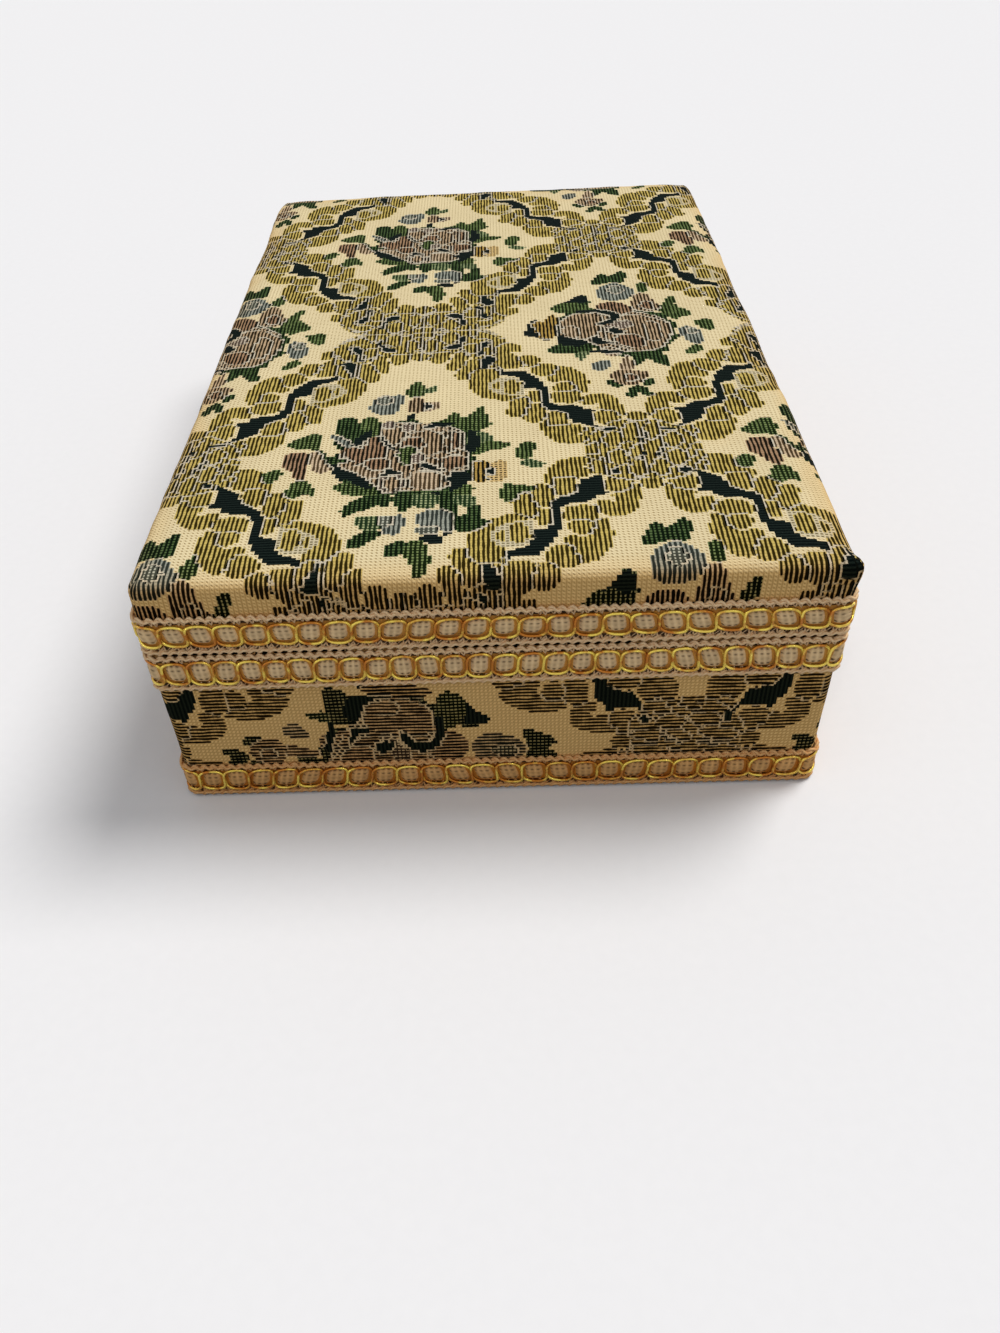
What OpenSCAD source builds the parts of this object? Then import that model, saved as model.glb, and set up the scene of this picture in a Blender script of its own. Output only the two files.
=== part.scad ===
/* [Box] */
// Width of the cloth-covered box, side to side
box_w = 180; // [120:1:240]
// Depth of the cloth-covered box, front to back
box_d = 280; // [160:1:340]
// Height of the closed box
box_h = 77; // [68:1:110]
// Height of the lid, from the seam to the top
lid_h = 22.35; // [20:0.05:26]
// Gap between the lid's rim and the base's rim when closed
seam_gap = 0.3; // [0.2:0.05:0.6]

/* [Boards and cloth] */
// Thickness of the greyboard panels
board_t = 3; // [2:0.1:4]
// Thickness of the brocade
cloth_t = 0.8; // [0.5:0.05:1.2]
// Radius of the corners and of the lid's soft top edge
corner_r = 3; // [2.5:0.1:5]
// Thickness of the wadding under the lid's brocade
wadding_t = 2; // [1:0.1:4]
// How far the brocade turns down inside the rims
turn_in = 11; // [6:0.5:12]
// How far the brocade turns under the base
turn_under = 15; // [8:0.5:25]
// Thickness of the sheet that closes the underside
foot_t = 0.5; // [0.3:0.1:1.5]

/* [Lining] */
// Thickness of a satin-covered lining panel
lining_t = 1.6; // [1:0.1:3]
// Thickness of a satin pad at its edge
pad_edge = 3; // [2:0.1:4]
// How much a satin pad swells in its middle
pad_crown = 2.5; // [1:0.1:3]
// How far the pad's sides draw in between the corners
pad_pull = 0.8; // [0:0.1:2]
// Distance from a rim to the top edge of its lining
lining_drop = 1; // [0.5:0.1:3]

/* [Braid] */
// Width of the braid
braid_w = 12; // [8:0.5:14]
// Thickness of the braid's cotton tape
tape_t = 0.8; // [0.5:0.1:1.2]
// Width of the band of gold cord along the braid's middle
cord_w = 6.8; // [4:0.1:8]
// How far the gold cord stands out from the box
cord_proud = 1.4; // [0.9:0.1:2]
// Distance from a rim to the edge of its braid
braid_inset = 0.2; // [0.2:0.1:2]

/* [Hinge] */
// Height of each leaf of the brocade hinge strip
hinge_leaf = 13; // [8:0.5:16]
// Thickness of the brocade hinge strip
hinge_t = 0.6; // [0.4:0.1:1]
// Thickness of the satin hinge strip inside the back
inner_hinge_t = 0.4; // [0.2:0.1:0.8]
// How far the hinge strips stop short of the box's sides
hinge_inset = 4; // [3:0.5:20]

/* [Hidden] */
$fn = 48;

// The seam is the plane that the hinge line lies in
seam_z = box_h - lid_h;
base_top = seam_z - seam_gap / 2;
lid_bottom = seam_z + seam_gap / 2;

// The brocade's inner faces, which the boards stand against
board_w = box_w - 2 * cloth_t;
board_d = box_d - 2 * cloth_t;
board_r = corner_r - cloth_t;
base_board_bottom = foot_t + cloth_t;
base_board_top = base_top - cloth_t;
floor_top = base_board_bottom + board_t;
lid_board_bottom = lid_bottom + cloth_t;
wadding_top = box_h - cloth_t;
lid_board_top = wadding_top - wadding_t;
ceiling_z = lid_board_top - board_t;

// The space inside the walls, then inside the turned-in brocade, then inside the lining
wall_w = board_w - 2 * board_t;
wall_d = board_d - 2 * board_t;
rim_w = wall_w - 2 * cloth_t;
rim_d = wall_d - 2 * cloth_t;
room_w = rim_w - 2 * lining_t;
back_lining_y = rim_d / 2 - inner_hinge_t - lining_t;
front_lining_y = -rim_d / 2 + lining_t;
pad_gap = 0.2;
lining_base_top = base_top - lining_drop;
lining_lid_bottom = lid_bottom + lining_drop;

// The band of gold cord lies along the middle of its braid
cord_edge = (braid_w - cord_w) / 2;
leaf_gap = 0.1;

// The pads' facets across and along
pad_nx = 10;
pad_ny = 14;

/* Rounded rectangle, centred */
module round_plan(w, d, r) {
    square([w - 2 * r, d], center = true);
    square([w, d - 2 * r], center = true);
    for (x = [-1, 1], y = [-1, 1])
        translate([x * (w / 2 - r), y * (d / 2 - r)]) circle(r);
}

/* Rounded rectangle carried from one height to another */
module slab(w, d, r, bottom, top) {
    translate([0, 0, bottom]) linear_extrude(top - bottom) round_plan(w, d, r);
}

/* Plain block between two corners */
module block(low, high) {
    translate(low) cube(high - low);
}

/* Ring between a rounded outline and a square-cornered opening */
module square_ring(w, d, r, open_w, open_d, bottom, top) {
    difference() {
        slab(w, d, r, bottom, top);
        block([-open_w / 2, -open_d / 2, bottom - 1], [open_w / 2, open_d / 2, top + 1]);
    }
}

/* Block whose upright corners and top edges share one radius */
module soft_top_block(w, d, r, bottom, top) {
    slab(w, d, r, bottom, top - r);
    block([-w / 2 + r, -d / 2 + r, top - r], [w / 2 - r, d / 2 - r, top]);
    for (y = [-1, 1])
        translate([-w / 2 + r, y * (d / 2 - r), top - r])
            rotate([0, 90, 0]) cylinder(r = r, h = w - 2 * r);
    for (x = [-1, 1])
        translate([x * (w / 2 - r), d / 2 - r, top - r])
            rotate([90, 0, 0]) cylinder(r = r, h = d - 2 * r);
    for (x = [-1, 1], y = [-1, 1])
        translate([x * (w / 2 - r), y * (d / 2 - r), top - r]) sphere(r);
}

/* Front or back wall, with its outer corners rounded to fit the brocade */
module cross_wall(side, bottom, top) {
    intersection() {
        slab(board_w, board_d, board_r, bottom, top);
        translate([-board_w / 2, side > 0 ? wall_d / 2 : -board_d / 2, bottom])
            cube([board_w, board_t, top - bottom]);
    }
}

/* Left or right wall, which stands between the front and the back */
module side_wall(side, bottom, top) {
    translate([side > 0 ? wall_w / 2 : -board_w / 2, -wall_d / 2, bottom])
        cube([board_t, wall_d, top - bottom]);
}

/* Brocade of the base: its walls, the rim, the part turned in and the part turned under */
module base_cover() {
    color("burlywood") {
        difference() {
            slab(box_w, box_d, corner_r, foot_t, base_top);
            slab(board_w, board_d, board_r, foot_t - 1, base_top + 1);
        }
        square_ring(box_w, box_d, corner_r, rim_w, rim_d, base_board_top, base_top);
        square_ring(wall_w, wall_d, cloth_t, rim_w, rim_d, base_top - turn_in, base_top);
        square_ring(box_w, box_d, corner_r, box_w - 2 * turn_under, box_d - 2 * turn_under,
            foot_t, foot_t + cloth_t);
    }
}

/* Brocade of the lid: top and walls in one piece, the rim and the part turned in */
module lid_cover() {
    color("wheat") {
        difference() {
            soft_top_block(box_w, box_d, corner_r, lid_bottom, box_h);
            soft_top_block(board_w, board_d, board_r, lid_board_bottom, wadding_top);
            block([-rim_w / 2, -rim_d / 2, lid_bottom - 1], [rim_w / 2, rim_d / 2, lid_board_bottom + 1]);
        }
        square_ring(wall_w, wall_d, cloth_t, rim_w, rim_d, lid_bottom, lid_bottom + turn_in);
    }
}

/* Sheet that hides the turned-under brocade, and that the box stands on */
module base_foot_sheet() {
    color("saddlebrown") slab(box_w - 2 * corner_r, box_d - 2 * corner_r, corner_r, 0, foot_t);
}

module base_floor_board() {
    color("tan") block([-wall_w / 2, -wall_d / 2, base_board_bottom], [wall_w / 2, wall_d / 2, floor_top]);
}

module base_cross_board(side) {
    color("tan") cross_wall(side, base_board_bottom, base_board_top);
}

module base_side_board(side) {
    color("tan") side_wall(side, base_board_bottom, base_board_top);
}

module lid_top_board() {
    color("tan") slab(board_w, board_d, board_r, ceiling_z, lid_board_top);
}

module lid_cross_board(side) {
    color("tan") cross_wall(side, lid_board_bottom, ceiling_z);
}

module lid_side_board(side) {
    color("tan") side_wall(side, lid_board_bottom, ceiling_z);
}

/* Thin wadding that softens the lid's top and its edges */
module lid_wadding() {
    color("ivory") intersection() {
        soft_top_block(board_w, board_d, board_r, lid_board_bottom, wadding_top);
        block([-board_w, -board_d, lid_board_top], [board_w, board_d, box_h]);
    }
}

/* Satin-covered panel on a side wall. Clear of the turned-in brocade it thickens to meet the wall */
module side_lining(side, bottom, top, thick_bottom, thick_top) {
    mirror([side > 0 ? 0 : 1, 0, 0]) {
        block([room_w / 2, -rim_d / 2, bottom], [rim_w / 2, rim_d / 2, top]);
        block([room_w / 2, -rim_d / 2, thick_bottom], [wall_w / 2, rim_d / 2, thick_top]);
    }
}

/* Satin-covered panel on the front wall, between the side panels */
module front_lining(bottom, top, thick_bottom, thick_top) {
    block([-room_w / 2, -rim_d / 2, bottom], [room_w / 2, front_lining_y, top]);
    block([-room_w / 2, -wall_d / 2, thick_bottom], [room_w / 2, front_lining_y, thick_top]);
}

/* Satin-covered panel on the back wall, in front of the inner hinge strip */
module back_lining(bottom, top, thick_bottom, thick_top) {
    block([-room_w / 2, back_lining_y, bottom], [room_w / 2, back_lining_y + lining_t, top]);
    block([-room_w / 2, back_lining_y, thick_bottom], [room_w / 2, wall_d / 2, thick_top]);
}

base_thick_top = base_top - turn_in - 1;
lid_thick_bottom = lid_bottom + turn_in + 1;

module base_side_lining(side) {
    color("gold") side_lining(side, floor_top, lining_base_top, floor_top, base_thick_top);
}

module base_front_lining() {
    color("gold") front_lining(floor_top, lining_base_top, floor_top, base_thick_top);
}

module base_back_lining() {
    color("gold") back_lining(floor_top, lining_base_top, floor_top, base_thick_top);
}

module lid_side_lining(side) {
    color("gold") side_lining(side, lining_lid_bottom, ceiling_z, lid_thick_bottom, ceiling_z);
}

module lid_front_lining() {
    color("gold") front_lining(lining_lid_bottom, ceiling_z, lid_thick_bottom, ceiling_z);
}

module lid_back_lining() {
    color("gold") back_lining(lining_lid_bottom, ceiling_z, lid_thick_bottom, ceiling_z);
}

// A pad's point at u across and v along, each from -1 to 1: the sides draw in and the top swells
function pad_point(w, d, u, v, top) = [
    u * (w / 2 - pad_pull * (1 - v * v)),
    v * (d / 2 - pad_pull * (1 - u * u)),
    top ? pad_edge + pad_crown * (1 - pow(u, 4)) * (1 - pow(v, 4)) : 0
];

// Index of a pad's point on its underside (layer 0) or its top (layer 1)
function pad_index(i, j, layer) = (layer * (pad_ny + 1) + j) * (pad_nx + 1) + i;

// The two triangles of a four-sided patch, in order
function patch(a, b, c, d) = [[a, b, c], [a, c, d]];

/* Satin pad with a flat underside at z = 0 */
module satin_pad(w, d) {
    points = [
        for (layer = [0, 1], j = [0 : pad_ny], i = [0 : pad_nx])
            pad_point(w, d, 2 * i / pad_nx - 1, 2 * j / pad_ny - 1, layer == 1)
    ];
    underside = [
        for (j = [0 : pad_ny - 1], i = [0 : pad_nx - 1])
            each patch(pad_index(i, j, 0), pad_index(i + 1, j, 0),
                pad_index(i + 1, j + 1, 0), pad_index(i, j + 1, 0))
    ];
    swelling = [
        for (j = [0 : pad_ny - 1], i = [0 : pad_nx - 1])
            each patch(pad_index(i, j, 1), pad_index(i, j + 1, 1),
                pad_index(i + 1, j + 1, 1), pad_index(i + 1, j, 1))
    ];
    ends = [
        for (i = [0 : pad_nx - 1], j = [0, pad_ny])
            each j == 0
                ? patch(pad_index(i, j, 0), pad_index(i, j, 1), pad_index(i + 1, j, 1), pad_index(i + 1, j, 0))
                : patch(pad_index(i, j, 0), pad_index(i + 1, j, 0), pad_index(i + 1, j, 1), pad_index(i, j, 1))
    ];
    sides = [
        for (j = [0 : pad_ny - 1], i = [0, pad_nx])
            each i == 0
                ? patch(pad_index(i, j, 0), pad_index(i, j + 1, 0), pad_index(i, j + 1, 1), pad_index(i, j, 1))
                : patch(pad_index(i, j, 0), pad_index(i, j, 1), pad_index(i, j + 1, 1), pad_index(i, j + 1, 0))
    ];
    polyhedron(points, concat(underside, swelling, ends, sides));
}

pad_w = room_w - 2 * pad_gap;
pad_d = back_lining_y - front_lining_y - 2 * pad_gap;
pad_y = (back_lining_y + front_lining_y) / 2;

module base_floor_pad() {
    color("goldenrod") translate([0, pad_y, floor_top]) satin_pad(pad_w, pad_d);
}

module lid_ceiling_pad() {
    color("goldenrod") translate([0, pad_y, ceiling_z]) mirror([0, 0, 1]) satin_pad(pad_w, pad_d);
}

/* Braid round the whole box: a cotton tape, with the band of gold cord proud along its middle */
module braid_ring(bottom) {
    difference() {
        union() {
            slab(box_w + 2 * tape_t, box_d + 2 * tape_t, corner_r + tape_t, bottom, bottom + braid_w);
            slab(box_w + 2 * cord_proud, box_d + 2 * cord_proud, corner_r + cord_proud,
                bottom + cord_edge, bottom + braid_w - cord_edge);
        }
        slab(box_w, box_d, corner_r, bottom - 1, bottom + braid_w + 1);
    }
}

/* Braid along the front and the two sides, which ends where the back corners begin */
module rim_braid(bottom) {
    difference() {
        braid_ring(bottom);
        block([-box_w, box_d / 2 - corner_r, bottom - 1], [box_w, box_d, bottom + braid_w + 1]);
    }
}

module lid_rim_braid() {
    color("goldenrod") rim_braid(lid_bottom + braid_inset);
}

module base_rim_braid() {
    color("goldenrod") rim_braid(base_top - braid_inset - braid_w);
}

module base_foot_braid() {
    color("goldenrod") braid_ring(foot_t + 0.1);
}

/* Half of the brocade strip that hinges the lid, folded at the seam along its outer face */
module hinge_leaf_block(side) {
    mirror([0, 0, side > 0 ? 0 : 1])
        block([-box_w / 2 + hinge_inset, box_d / 2, leaf_gap / 2],
            [box_w / 2 - hinge_inset, box_d / 2 + hinge_t, hinge_leaf]);
}

module hinge_cloth(side) {
    color("peru") translate([0, 0, seam_z]) hinge_leaf_block(side);
}

/* Half of the satin strip that covers the seam inside the back */
module inner_hinge_cloth(side) {
    color("khaki") translate([0, 0, seam_z]) mirror([0, 0, side > 0 ? 0 : 1])
        block([-room_w / 2, rim_d / 2 - inner_hinge_t, leaf_gap / 2],
            [room_w / 2, rim_d / 2, turn_in]);
}

base_floor_board();
base_cross_board(-1);  // base_front_board
base_cross_board(1);  // base_back_board
base_side_board(-1);  // base_left_board
base_side_board(1);  // base_right_board
base_cover();
base_foot_sheet();
base_rim_braid();
base_foot_braid();
base_front_lining();
base_back_lining();
base_side_lining(-1);  // base_left_lining
base_side_lining(1);  // base_right_lining
base_floor_pad();
lid_top_board();
lid_cross_board(-1);  // lid_front_board
lid_cross_board(1);  // lid_back_board
lid_side_board(-1);  // lid_left_board
lid_side_board(1);  // lid_right_board
lid_wadding();
lid_cover();
lid_rim_braid();
lid_front_lining();
lid_back_lining();
lid_side_lining(-1);  // lid_left_lining
lid_side_lining(1);  // lid_right_lining
lid_ceiling_pad();
hinge_cloth(-1);  // hinge_cloth_base_leaf
hinge_cloth(1);  // hinge_cloth_lid_leaf
inner_hinge_cloth(-1);  // inner_hinge_cloth_base_leaf
inner_hinge_cloth(1);  // inner_hinge_cloth_lid_leaf
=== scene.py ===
"""A cloth-covered keepsake box: tapestry brocade over board, gimp braid, padded satin inside.

Everything is in metres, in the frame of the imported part: +Z up, the front faces -Y, and the box
stands on the floor with the centre of its underside at the origin.
"""
import math

import bmesh
import bpy
import mathutils
import numpy as np
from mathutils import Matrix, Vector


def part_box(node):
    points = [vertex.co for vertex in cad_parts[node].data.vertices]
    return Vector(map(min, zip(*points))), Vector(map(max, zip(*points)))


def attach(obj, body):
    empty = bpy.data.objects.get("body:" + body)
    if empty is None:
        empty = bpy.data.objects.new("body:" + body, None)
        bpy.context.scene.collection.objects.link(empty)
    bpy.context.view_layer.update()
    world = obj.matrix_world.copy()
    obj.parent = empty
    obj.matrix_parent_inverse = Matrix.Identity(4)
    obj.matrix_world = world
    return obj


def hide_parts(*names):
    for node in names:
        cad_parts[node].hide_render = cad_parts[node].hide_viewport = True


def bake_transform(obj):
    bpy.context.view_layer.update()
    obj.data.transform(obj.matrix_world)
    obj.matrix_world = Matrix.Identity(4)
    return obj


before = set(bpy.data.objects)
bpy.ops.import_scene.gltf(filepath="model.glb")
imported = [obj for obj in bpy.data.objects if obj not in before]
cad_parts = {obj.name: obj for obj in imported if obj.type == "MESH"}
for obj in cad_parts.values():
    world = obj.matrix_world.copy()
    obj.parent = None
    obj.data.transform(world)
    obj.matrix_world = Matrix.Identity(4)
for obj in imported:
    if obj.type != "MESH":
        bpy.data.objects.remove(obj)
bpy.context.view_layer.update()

MM = 0.001


# Sizes, from the frame.

LID_LOW, LID_HIGH = (np.array(c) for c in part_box("lid_cover"))
BASE_LOW, BASE_HIGH = (np.array(c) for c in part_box("base_cover"))
HALF_W, HALF_D = LID_HIGH[0], LID_HIGH[1]      # outside of the cloth
CORNER_R = 3.0 * MM                            # rounding of the upright corners and the lid's edge
RIM = 4.6 * MM                                 # board with cloth on both sides
SEAM_Z = (LID_LOW[2] + BASE_HIGH[2]) / 2
STRAIGHT_X, STRAIGHT_Y = HALF_W - CORNER_R, HALF_D - CORNER_R
CORNER_ARC = CORNER_R * math.pi / 2
AROUND = 4 * (STRAIGHT_X + STRAIGHT_Y) + 4 * CORNER_ARC


# The cloth's threads and repeat.

TOP_ENDS, TOP_PICKS = 143, 342    # pattern cells over the flat of the lid's top, each way
END = 2 * STRAIGHT_X / TOP_ENDS   # one pair of warp threads, gold beside black
PICK = 2 * STRAIGHT_Y / TOP_PICKS # one step of the pattern along the warp
WEFT = 1.12 * MM                  # the coarser weft rows of the cream ground
REPEAT_X, REPEAT_Y = 130.5, 159.4                 # the pattern's repeat, in mm
SMALL_MEDALLION = (-21.6, -4.9)                   # where one medallion lies on the lid's top, in mm


def srgb(r, g, b):
    """A colour given as 0-255 screen values, as the linear numbers that shaders use."""
    c = np.array([r, g, b]) / 255.0
    return tuple(float(v) for v in np.where(c <= 0.04045, c / 12.92, ((c + 0.055) / 1.055) ** 2.4))


# The yarns: the pale thread, the dark thread, and how the two are woven.
STRIPE, BROKEN, SPECKED, MESH, PLAIN = 0.0, 0.08, 0.25, 0.5, 1.0
YARNS = {
    "ground": (srgb(233, 215, 171), srgb(170, 144, 98), SPECKED),
    "core": (srgb(28, 37, 33), srgb(4, 10, 10), PLAIN),
    "outline": (srgb(206, 192, 158), srgb(120, 108, 76), MESH),
    "gold": (srgb(206, 181, 99), srgb(46, 37, 8), STRIPE),
    "leaf": (srgb(120, 136, 82), srgb(20, 31, 11), BROKEN),
    "dark leaf": (srgb(82, 102, 60), srgb(9, 20, 8), BROKEN),
    "pale leaf": (srgb(160, 168, 120), srgb(30, 48, 26), BROKEN),
    "rose": (srgb(194, 166, 130), srgb(42, 32, 18), STRIPE),
    "deep rose": (srgb(168, 134, 102), srgb(24, 18, 11), STRIPE),
    "pale rose": (srgb(206, 181, 148), srgb(74, 58, 38), STRIPE),
    "cream petal": (srgb(216, 200, 176), srgb(84, 70, 60), BROKEN),
    "blue": (srgb(156, 158, 143), srgb(48, 53, 48), STRIPE),
    "pale blue": (srgb(188, 187, 166), srgb(70, 72, 62), BROKEN),
    "ochre": (srgb(184, 150, 78), srgb(12, 10, 6), STRIPE),
    "pale ochre": (srgb(212, 180, 120), srgb(56, 42, 24), MESH),
}
KINDS = list(YARNS)
OVAL_POINTS = 20                       # an outline with this many points is an oval


# The weaver's drawing, in mm.
# Each shape is a yarn's name and its outline. Later shapes lie over earlier ones.


def oval(x, y, rx, ry, tilt=0.0):
    """Outline of an ellipse: (x, y) + turn(tilt degrees) of (rx cos a, ry sin a)."""
    a = np.linspace(0, 2 * math.pi, OVAL_POINTS, endpoint=False)
    c, s = math.cos(math.radians(tilt)), math.sin(math.radians(tilt))
    px, py = rx * np.cos(a), ry * np.sin(a)
    return [(x + c * i - s * j, y + s * i + c * j) for i, j in zip(px, py)]


# A quarter of the scrolled trellis, from the large medallion at (0, 0) to the small one at the
# quarter's far corner. It is mirrored four ways.
SCROLLS = [
    ("core", [(6.2, 11.2), (11.5, 12.4), (13, 14.5), (13, 19.5), (11.3, 22.6), (15.2, 22.8), (16.2, 25.6),
        (23.8, 26.2), (25, 29), (24.8, 35.5), (26, 39.5), (27.3, 43.5), (30.3, 46.5), (31, 48.8),
        (37.5, 48.2), (39.6, 50.6), (40, 46), (34, 45), (32.6, 42), (31.8, 36.6), (28, 37.2), (27.2, 33),
        (27.6, 28.5), (26.6, 24), (21.5, 22.2), (19.8, 19.8), (19.3, 15.6), (15.5, 13.6), (12.3, 11.4),
        (11.2, 9.2), (6.2, 9)]),
    ("gold", [(4.4, 17.5), (4.3, 22), (5, 27), (7, 30.6), (10.5, 31.8), (13.5, 30.8), (15.2, 27.8),
        (14.8, 26), (12.8, 26.2), (11.2, 27.6), (9.2, 26.8), (8.8, 24.5), (10.2, 23.4), (9.6, 21.6),
        (6.6, 21.6), (5.4, 19.5)]),
    ("gold", oval(8.2, 17.8, 3.3, 3.7)),
    ("gold", [(15, 28.2), (22.5, 28), (23.8, 31), (23.5, 33.6), (15.5, 34)]),
    ("gold", [(14.2, 33), (13.2, 37), (13, 42), (14.5, 46), (17, 49.5), (20, 50.8), (21.8, 49), (22.5, 45),
        (24.5, 42.5), (23.5, 40.8), (20.5, 42.8), (17.5, 41), (17.2, 39.5), (16.6, 35), (15, 34.6)]),
    ("gold", [(16.8, 34.8), (22.2, 34.8), (22.8, 37), (21, 39.3), (17.4, 39.2)]),
    ("gold", oval(25.2, 49, 3.5, 3.5)),
    ("gold", oval(30.3, 55.4, 2.9, 3.5)),
    ("gold", [(32.5, 51), (39.5, 50.8), (40.2, 55), (38.8, 60), (40, 64), (38.5, 67.2), (34.5, 67.5),
        (32.6, 65), (33.5, 62.5), (36, 63.5), (37, 61), (34.5, 59), (34, 56), (32, 54)]),
    ("gold", [(10.8, 4.2), (15.5, 4), (15.8, 10.5), (13, 12), (11.2, 11.4)]),
    ("gold", [(15.8, 4.5), (21, 4.5), (24.5, 7), (26.8, 11), (27.3, 16), (26.6, 19), (25.9, 14),
        (23.8, 12.9), (20, 13.8), (17, 12.6), (16.2, 11.2), (18.2, 9.4), (17.8, 7.4), (15.8, 7)]),
    ("gold", [(20.3, 14.6), (25.4, 14.4), (26.2, 18), (25.6, 21), (23.5, 22.2), (21, 20.8)]),
    ("gold", oval(29.8, 22.2, 2.6, 4.9)),
    ("gold", [(31.2, 31.6), (35.6, 31.4), (36.2, 27), (37.2, 22), (35.5, 20.6), (33, 22.5), (31.8, 27),
        (31, 29)]),
    ("gold", [(27.6, 29.2), (30.6, 28.4), (31, 32), (29.8, 35.2), (28, 35)]),
    ("outline", [(33, 31.4), (38, 31), (42, 33.2), (44, 37), (43.5, 41), (40, 45), (33.8, 44.4), (32.8, 40),
        (32.4, 36)]),
    ("gold", oval(36, 38.4, 2.6, 4.7)),
    ("gold", oval(40.4, 39.6, 1.2, 2.6)),
    ("gold", [(33.2, 31.2), (38, 31), (41.5, 32.8), (44.5, 33.4), (47, 36.5), (48.6, 41), (48.6, 46.5),
        (46.8, 49.6), (42, 50), (40.2, 48.5), (40.6, 45), (43.2, 42.5), (43.6, 38.5), (41, 35.6),
        (37.5, 33.4), (34, 33.2)]),
]

# The same quarter's end at the small medallion, measured from that medallion's middle.
SMALL_SCROLLS = [
    ("gold", [(0, 15.6), (12.5, 15.4), (19.5, 21), (19.8, 32), (25.5, 31), (26, 20), (28.5, 12), (26, 5),
        (20, 0), (0, 0)]),
    ("core", [(20.3, 20.3), (24.8, 20.4), (24.9, 23), (22.6, 27), (21.3, 31.5), (20, 31.5), (20.2, 25)]),
    ("core", [(18.3, 20.4), (20.4, 20), (21, 14), (22.6, 12.6), (23.2, 8.8), (20.4, 8.8), (19.6, 12),
        (19.4, 16)]),
    ("core", [(13, 3.8), (15, 3.8), (15.2, 8), (13.3, 10.2), (12.8, 13.8), (8, 13.8), (8, 10.4), (11.4, 10),
        (12.6, 8)]),
    ("gold", [(19, 1.6), (22, 2.5), (25.5, 5.5), (27.8, 9.5), (27.6, 14), (25.5, 19), (22.8, 19.2),
        (22.8, 14.5), (24, 9.4), (22.5, 7.2), (17, 7), (17.5, 3)]),
    ("gold", [(18.8, 22.4), (18.6, 30), (16.5, 34.2), (13.5, 34.6), (12.2, 32.4), (13.6, 29.5), (15, 25),
        (16.6, 22)]),
    ("gold", [(14.8, 15.6), (14.8, 20), (13.8, 24.5), (11, 28.4), (9.9, 27.8), (10.2, 23.5), (11.6, 19.5),
        (12, 15.6)]),
    ("gold", [(13.8, 10.8), (18.8, 10.6), (19, 14.5), (18, 18.5), (15.8, 17.8), (14, 14.6)]),
    ("gold", [(9.4, 15.4), (9.2, 18.5), (7, 23), (4.6, 21.5), (3.6, 18), (3.8, 15.4)]),
    ("gold", [(-3, 15.6), (3, 15.6), (2.4, 19.2), (0, 20), (-2.4, 19.2)]),
    ("gold", oval(17.2, 1.2, 1.7, 4.2)),
    ("gold", oval(9.3, 4.9, 2.8, 4.6)),
    ("gold", oval(3.2, 9.6, 2.1, 4.8)),
    ("gold", oval(2.4, 1.8, 1.5, 2.4, -25)),
    ("gold", oval(6, 0, 1, 2.4)),
]

# The large medallion is drawn whole, because its strokes all lean one way.
LARGE_MEDALLION = [
    ("gold", [(-15.4, -4), (-12, -9), (-10.5, -14.6), (0, -15.8), (10.5, -14.6), (12, -9), (15.4, -6),
        (15.4, 3), (12, 9), (9, 12), (5, 14.8), (-5, 14.8), (-9, 12), (-12, 9), (-15.4, 4)]),
    ("core", [(-11, 9.2), (-6.4, 9.6), (-6.6, 11.6), (-10.8, 11.6)]),
    ("core", [(5.6, 8.6), (10.8, 9.2), (10.4, 11.2), (6, 11)]),
    ("core", [(-10.8, -13.4), (-7.4, -13.4), (-7.4, -9.8), (-9.6, -10.2)]),
    ("core", [(7.6, -13.6), (11.4, -13.6), (11, -10.4), (8, -10.2)]),
    ("gold", oval(-8.1, 4.6, 3, 4.6, -6)),
    ("gold", oval(-13.6, 0.2, 1.5, 3.6, -8)),
    ("gold", oval(-12.6, -8.4, 1.6, 3.8, -10)),
    ("gold", oval(-2.7, 8.6, 2.6, 6, -12)),
    ("gold", oval(3.4, 9, 2.4, 5.8, -12)),
    ("gold", oval(8.6, 3.8, 2.9, 4.5, -10)),
    ("gold", oval(13.4, -1.8, 1.4, 4.2, -16)),
    ("gold", oval(-7.4, -4.7, 2.9, 4.3, -4)),
    ("gold", oval(8.4, -5.6, 3, 4.4, -8)),
    ("gold", oval(-2.6, -10.4, 2.4, 4.8, -8)),
    ("gold", oval(3.6, -10.6, 2.6, 4.4, -8)),
    ("gold", oval(-2.4, -2, 2, 4.2, -24)),
    ("core", oval(0.9, 5.2, 0.7, 4, -16)),
    ("core", oval(-0.6, -4.4, 0.7, 3.6, -24)),
    ("core", oval(5, -1.6, 0.7, 4, -24)),
    ("gold", [(-3, 15.8), (3, 15.8), (2.6, 18.6), (0, 20), (-2.6, 18.6)]),
    ("gold", [(-3, -16.4), (3, -16.4), (2.6, -18.6), (0, -20), (-2.6, -18.6)]),
]

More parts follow.
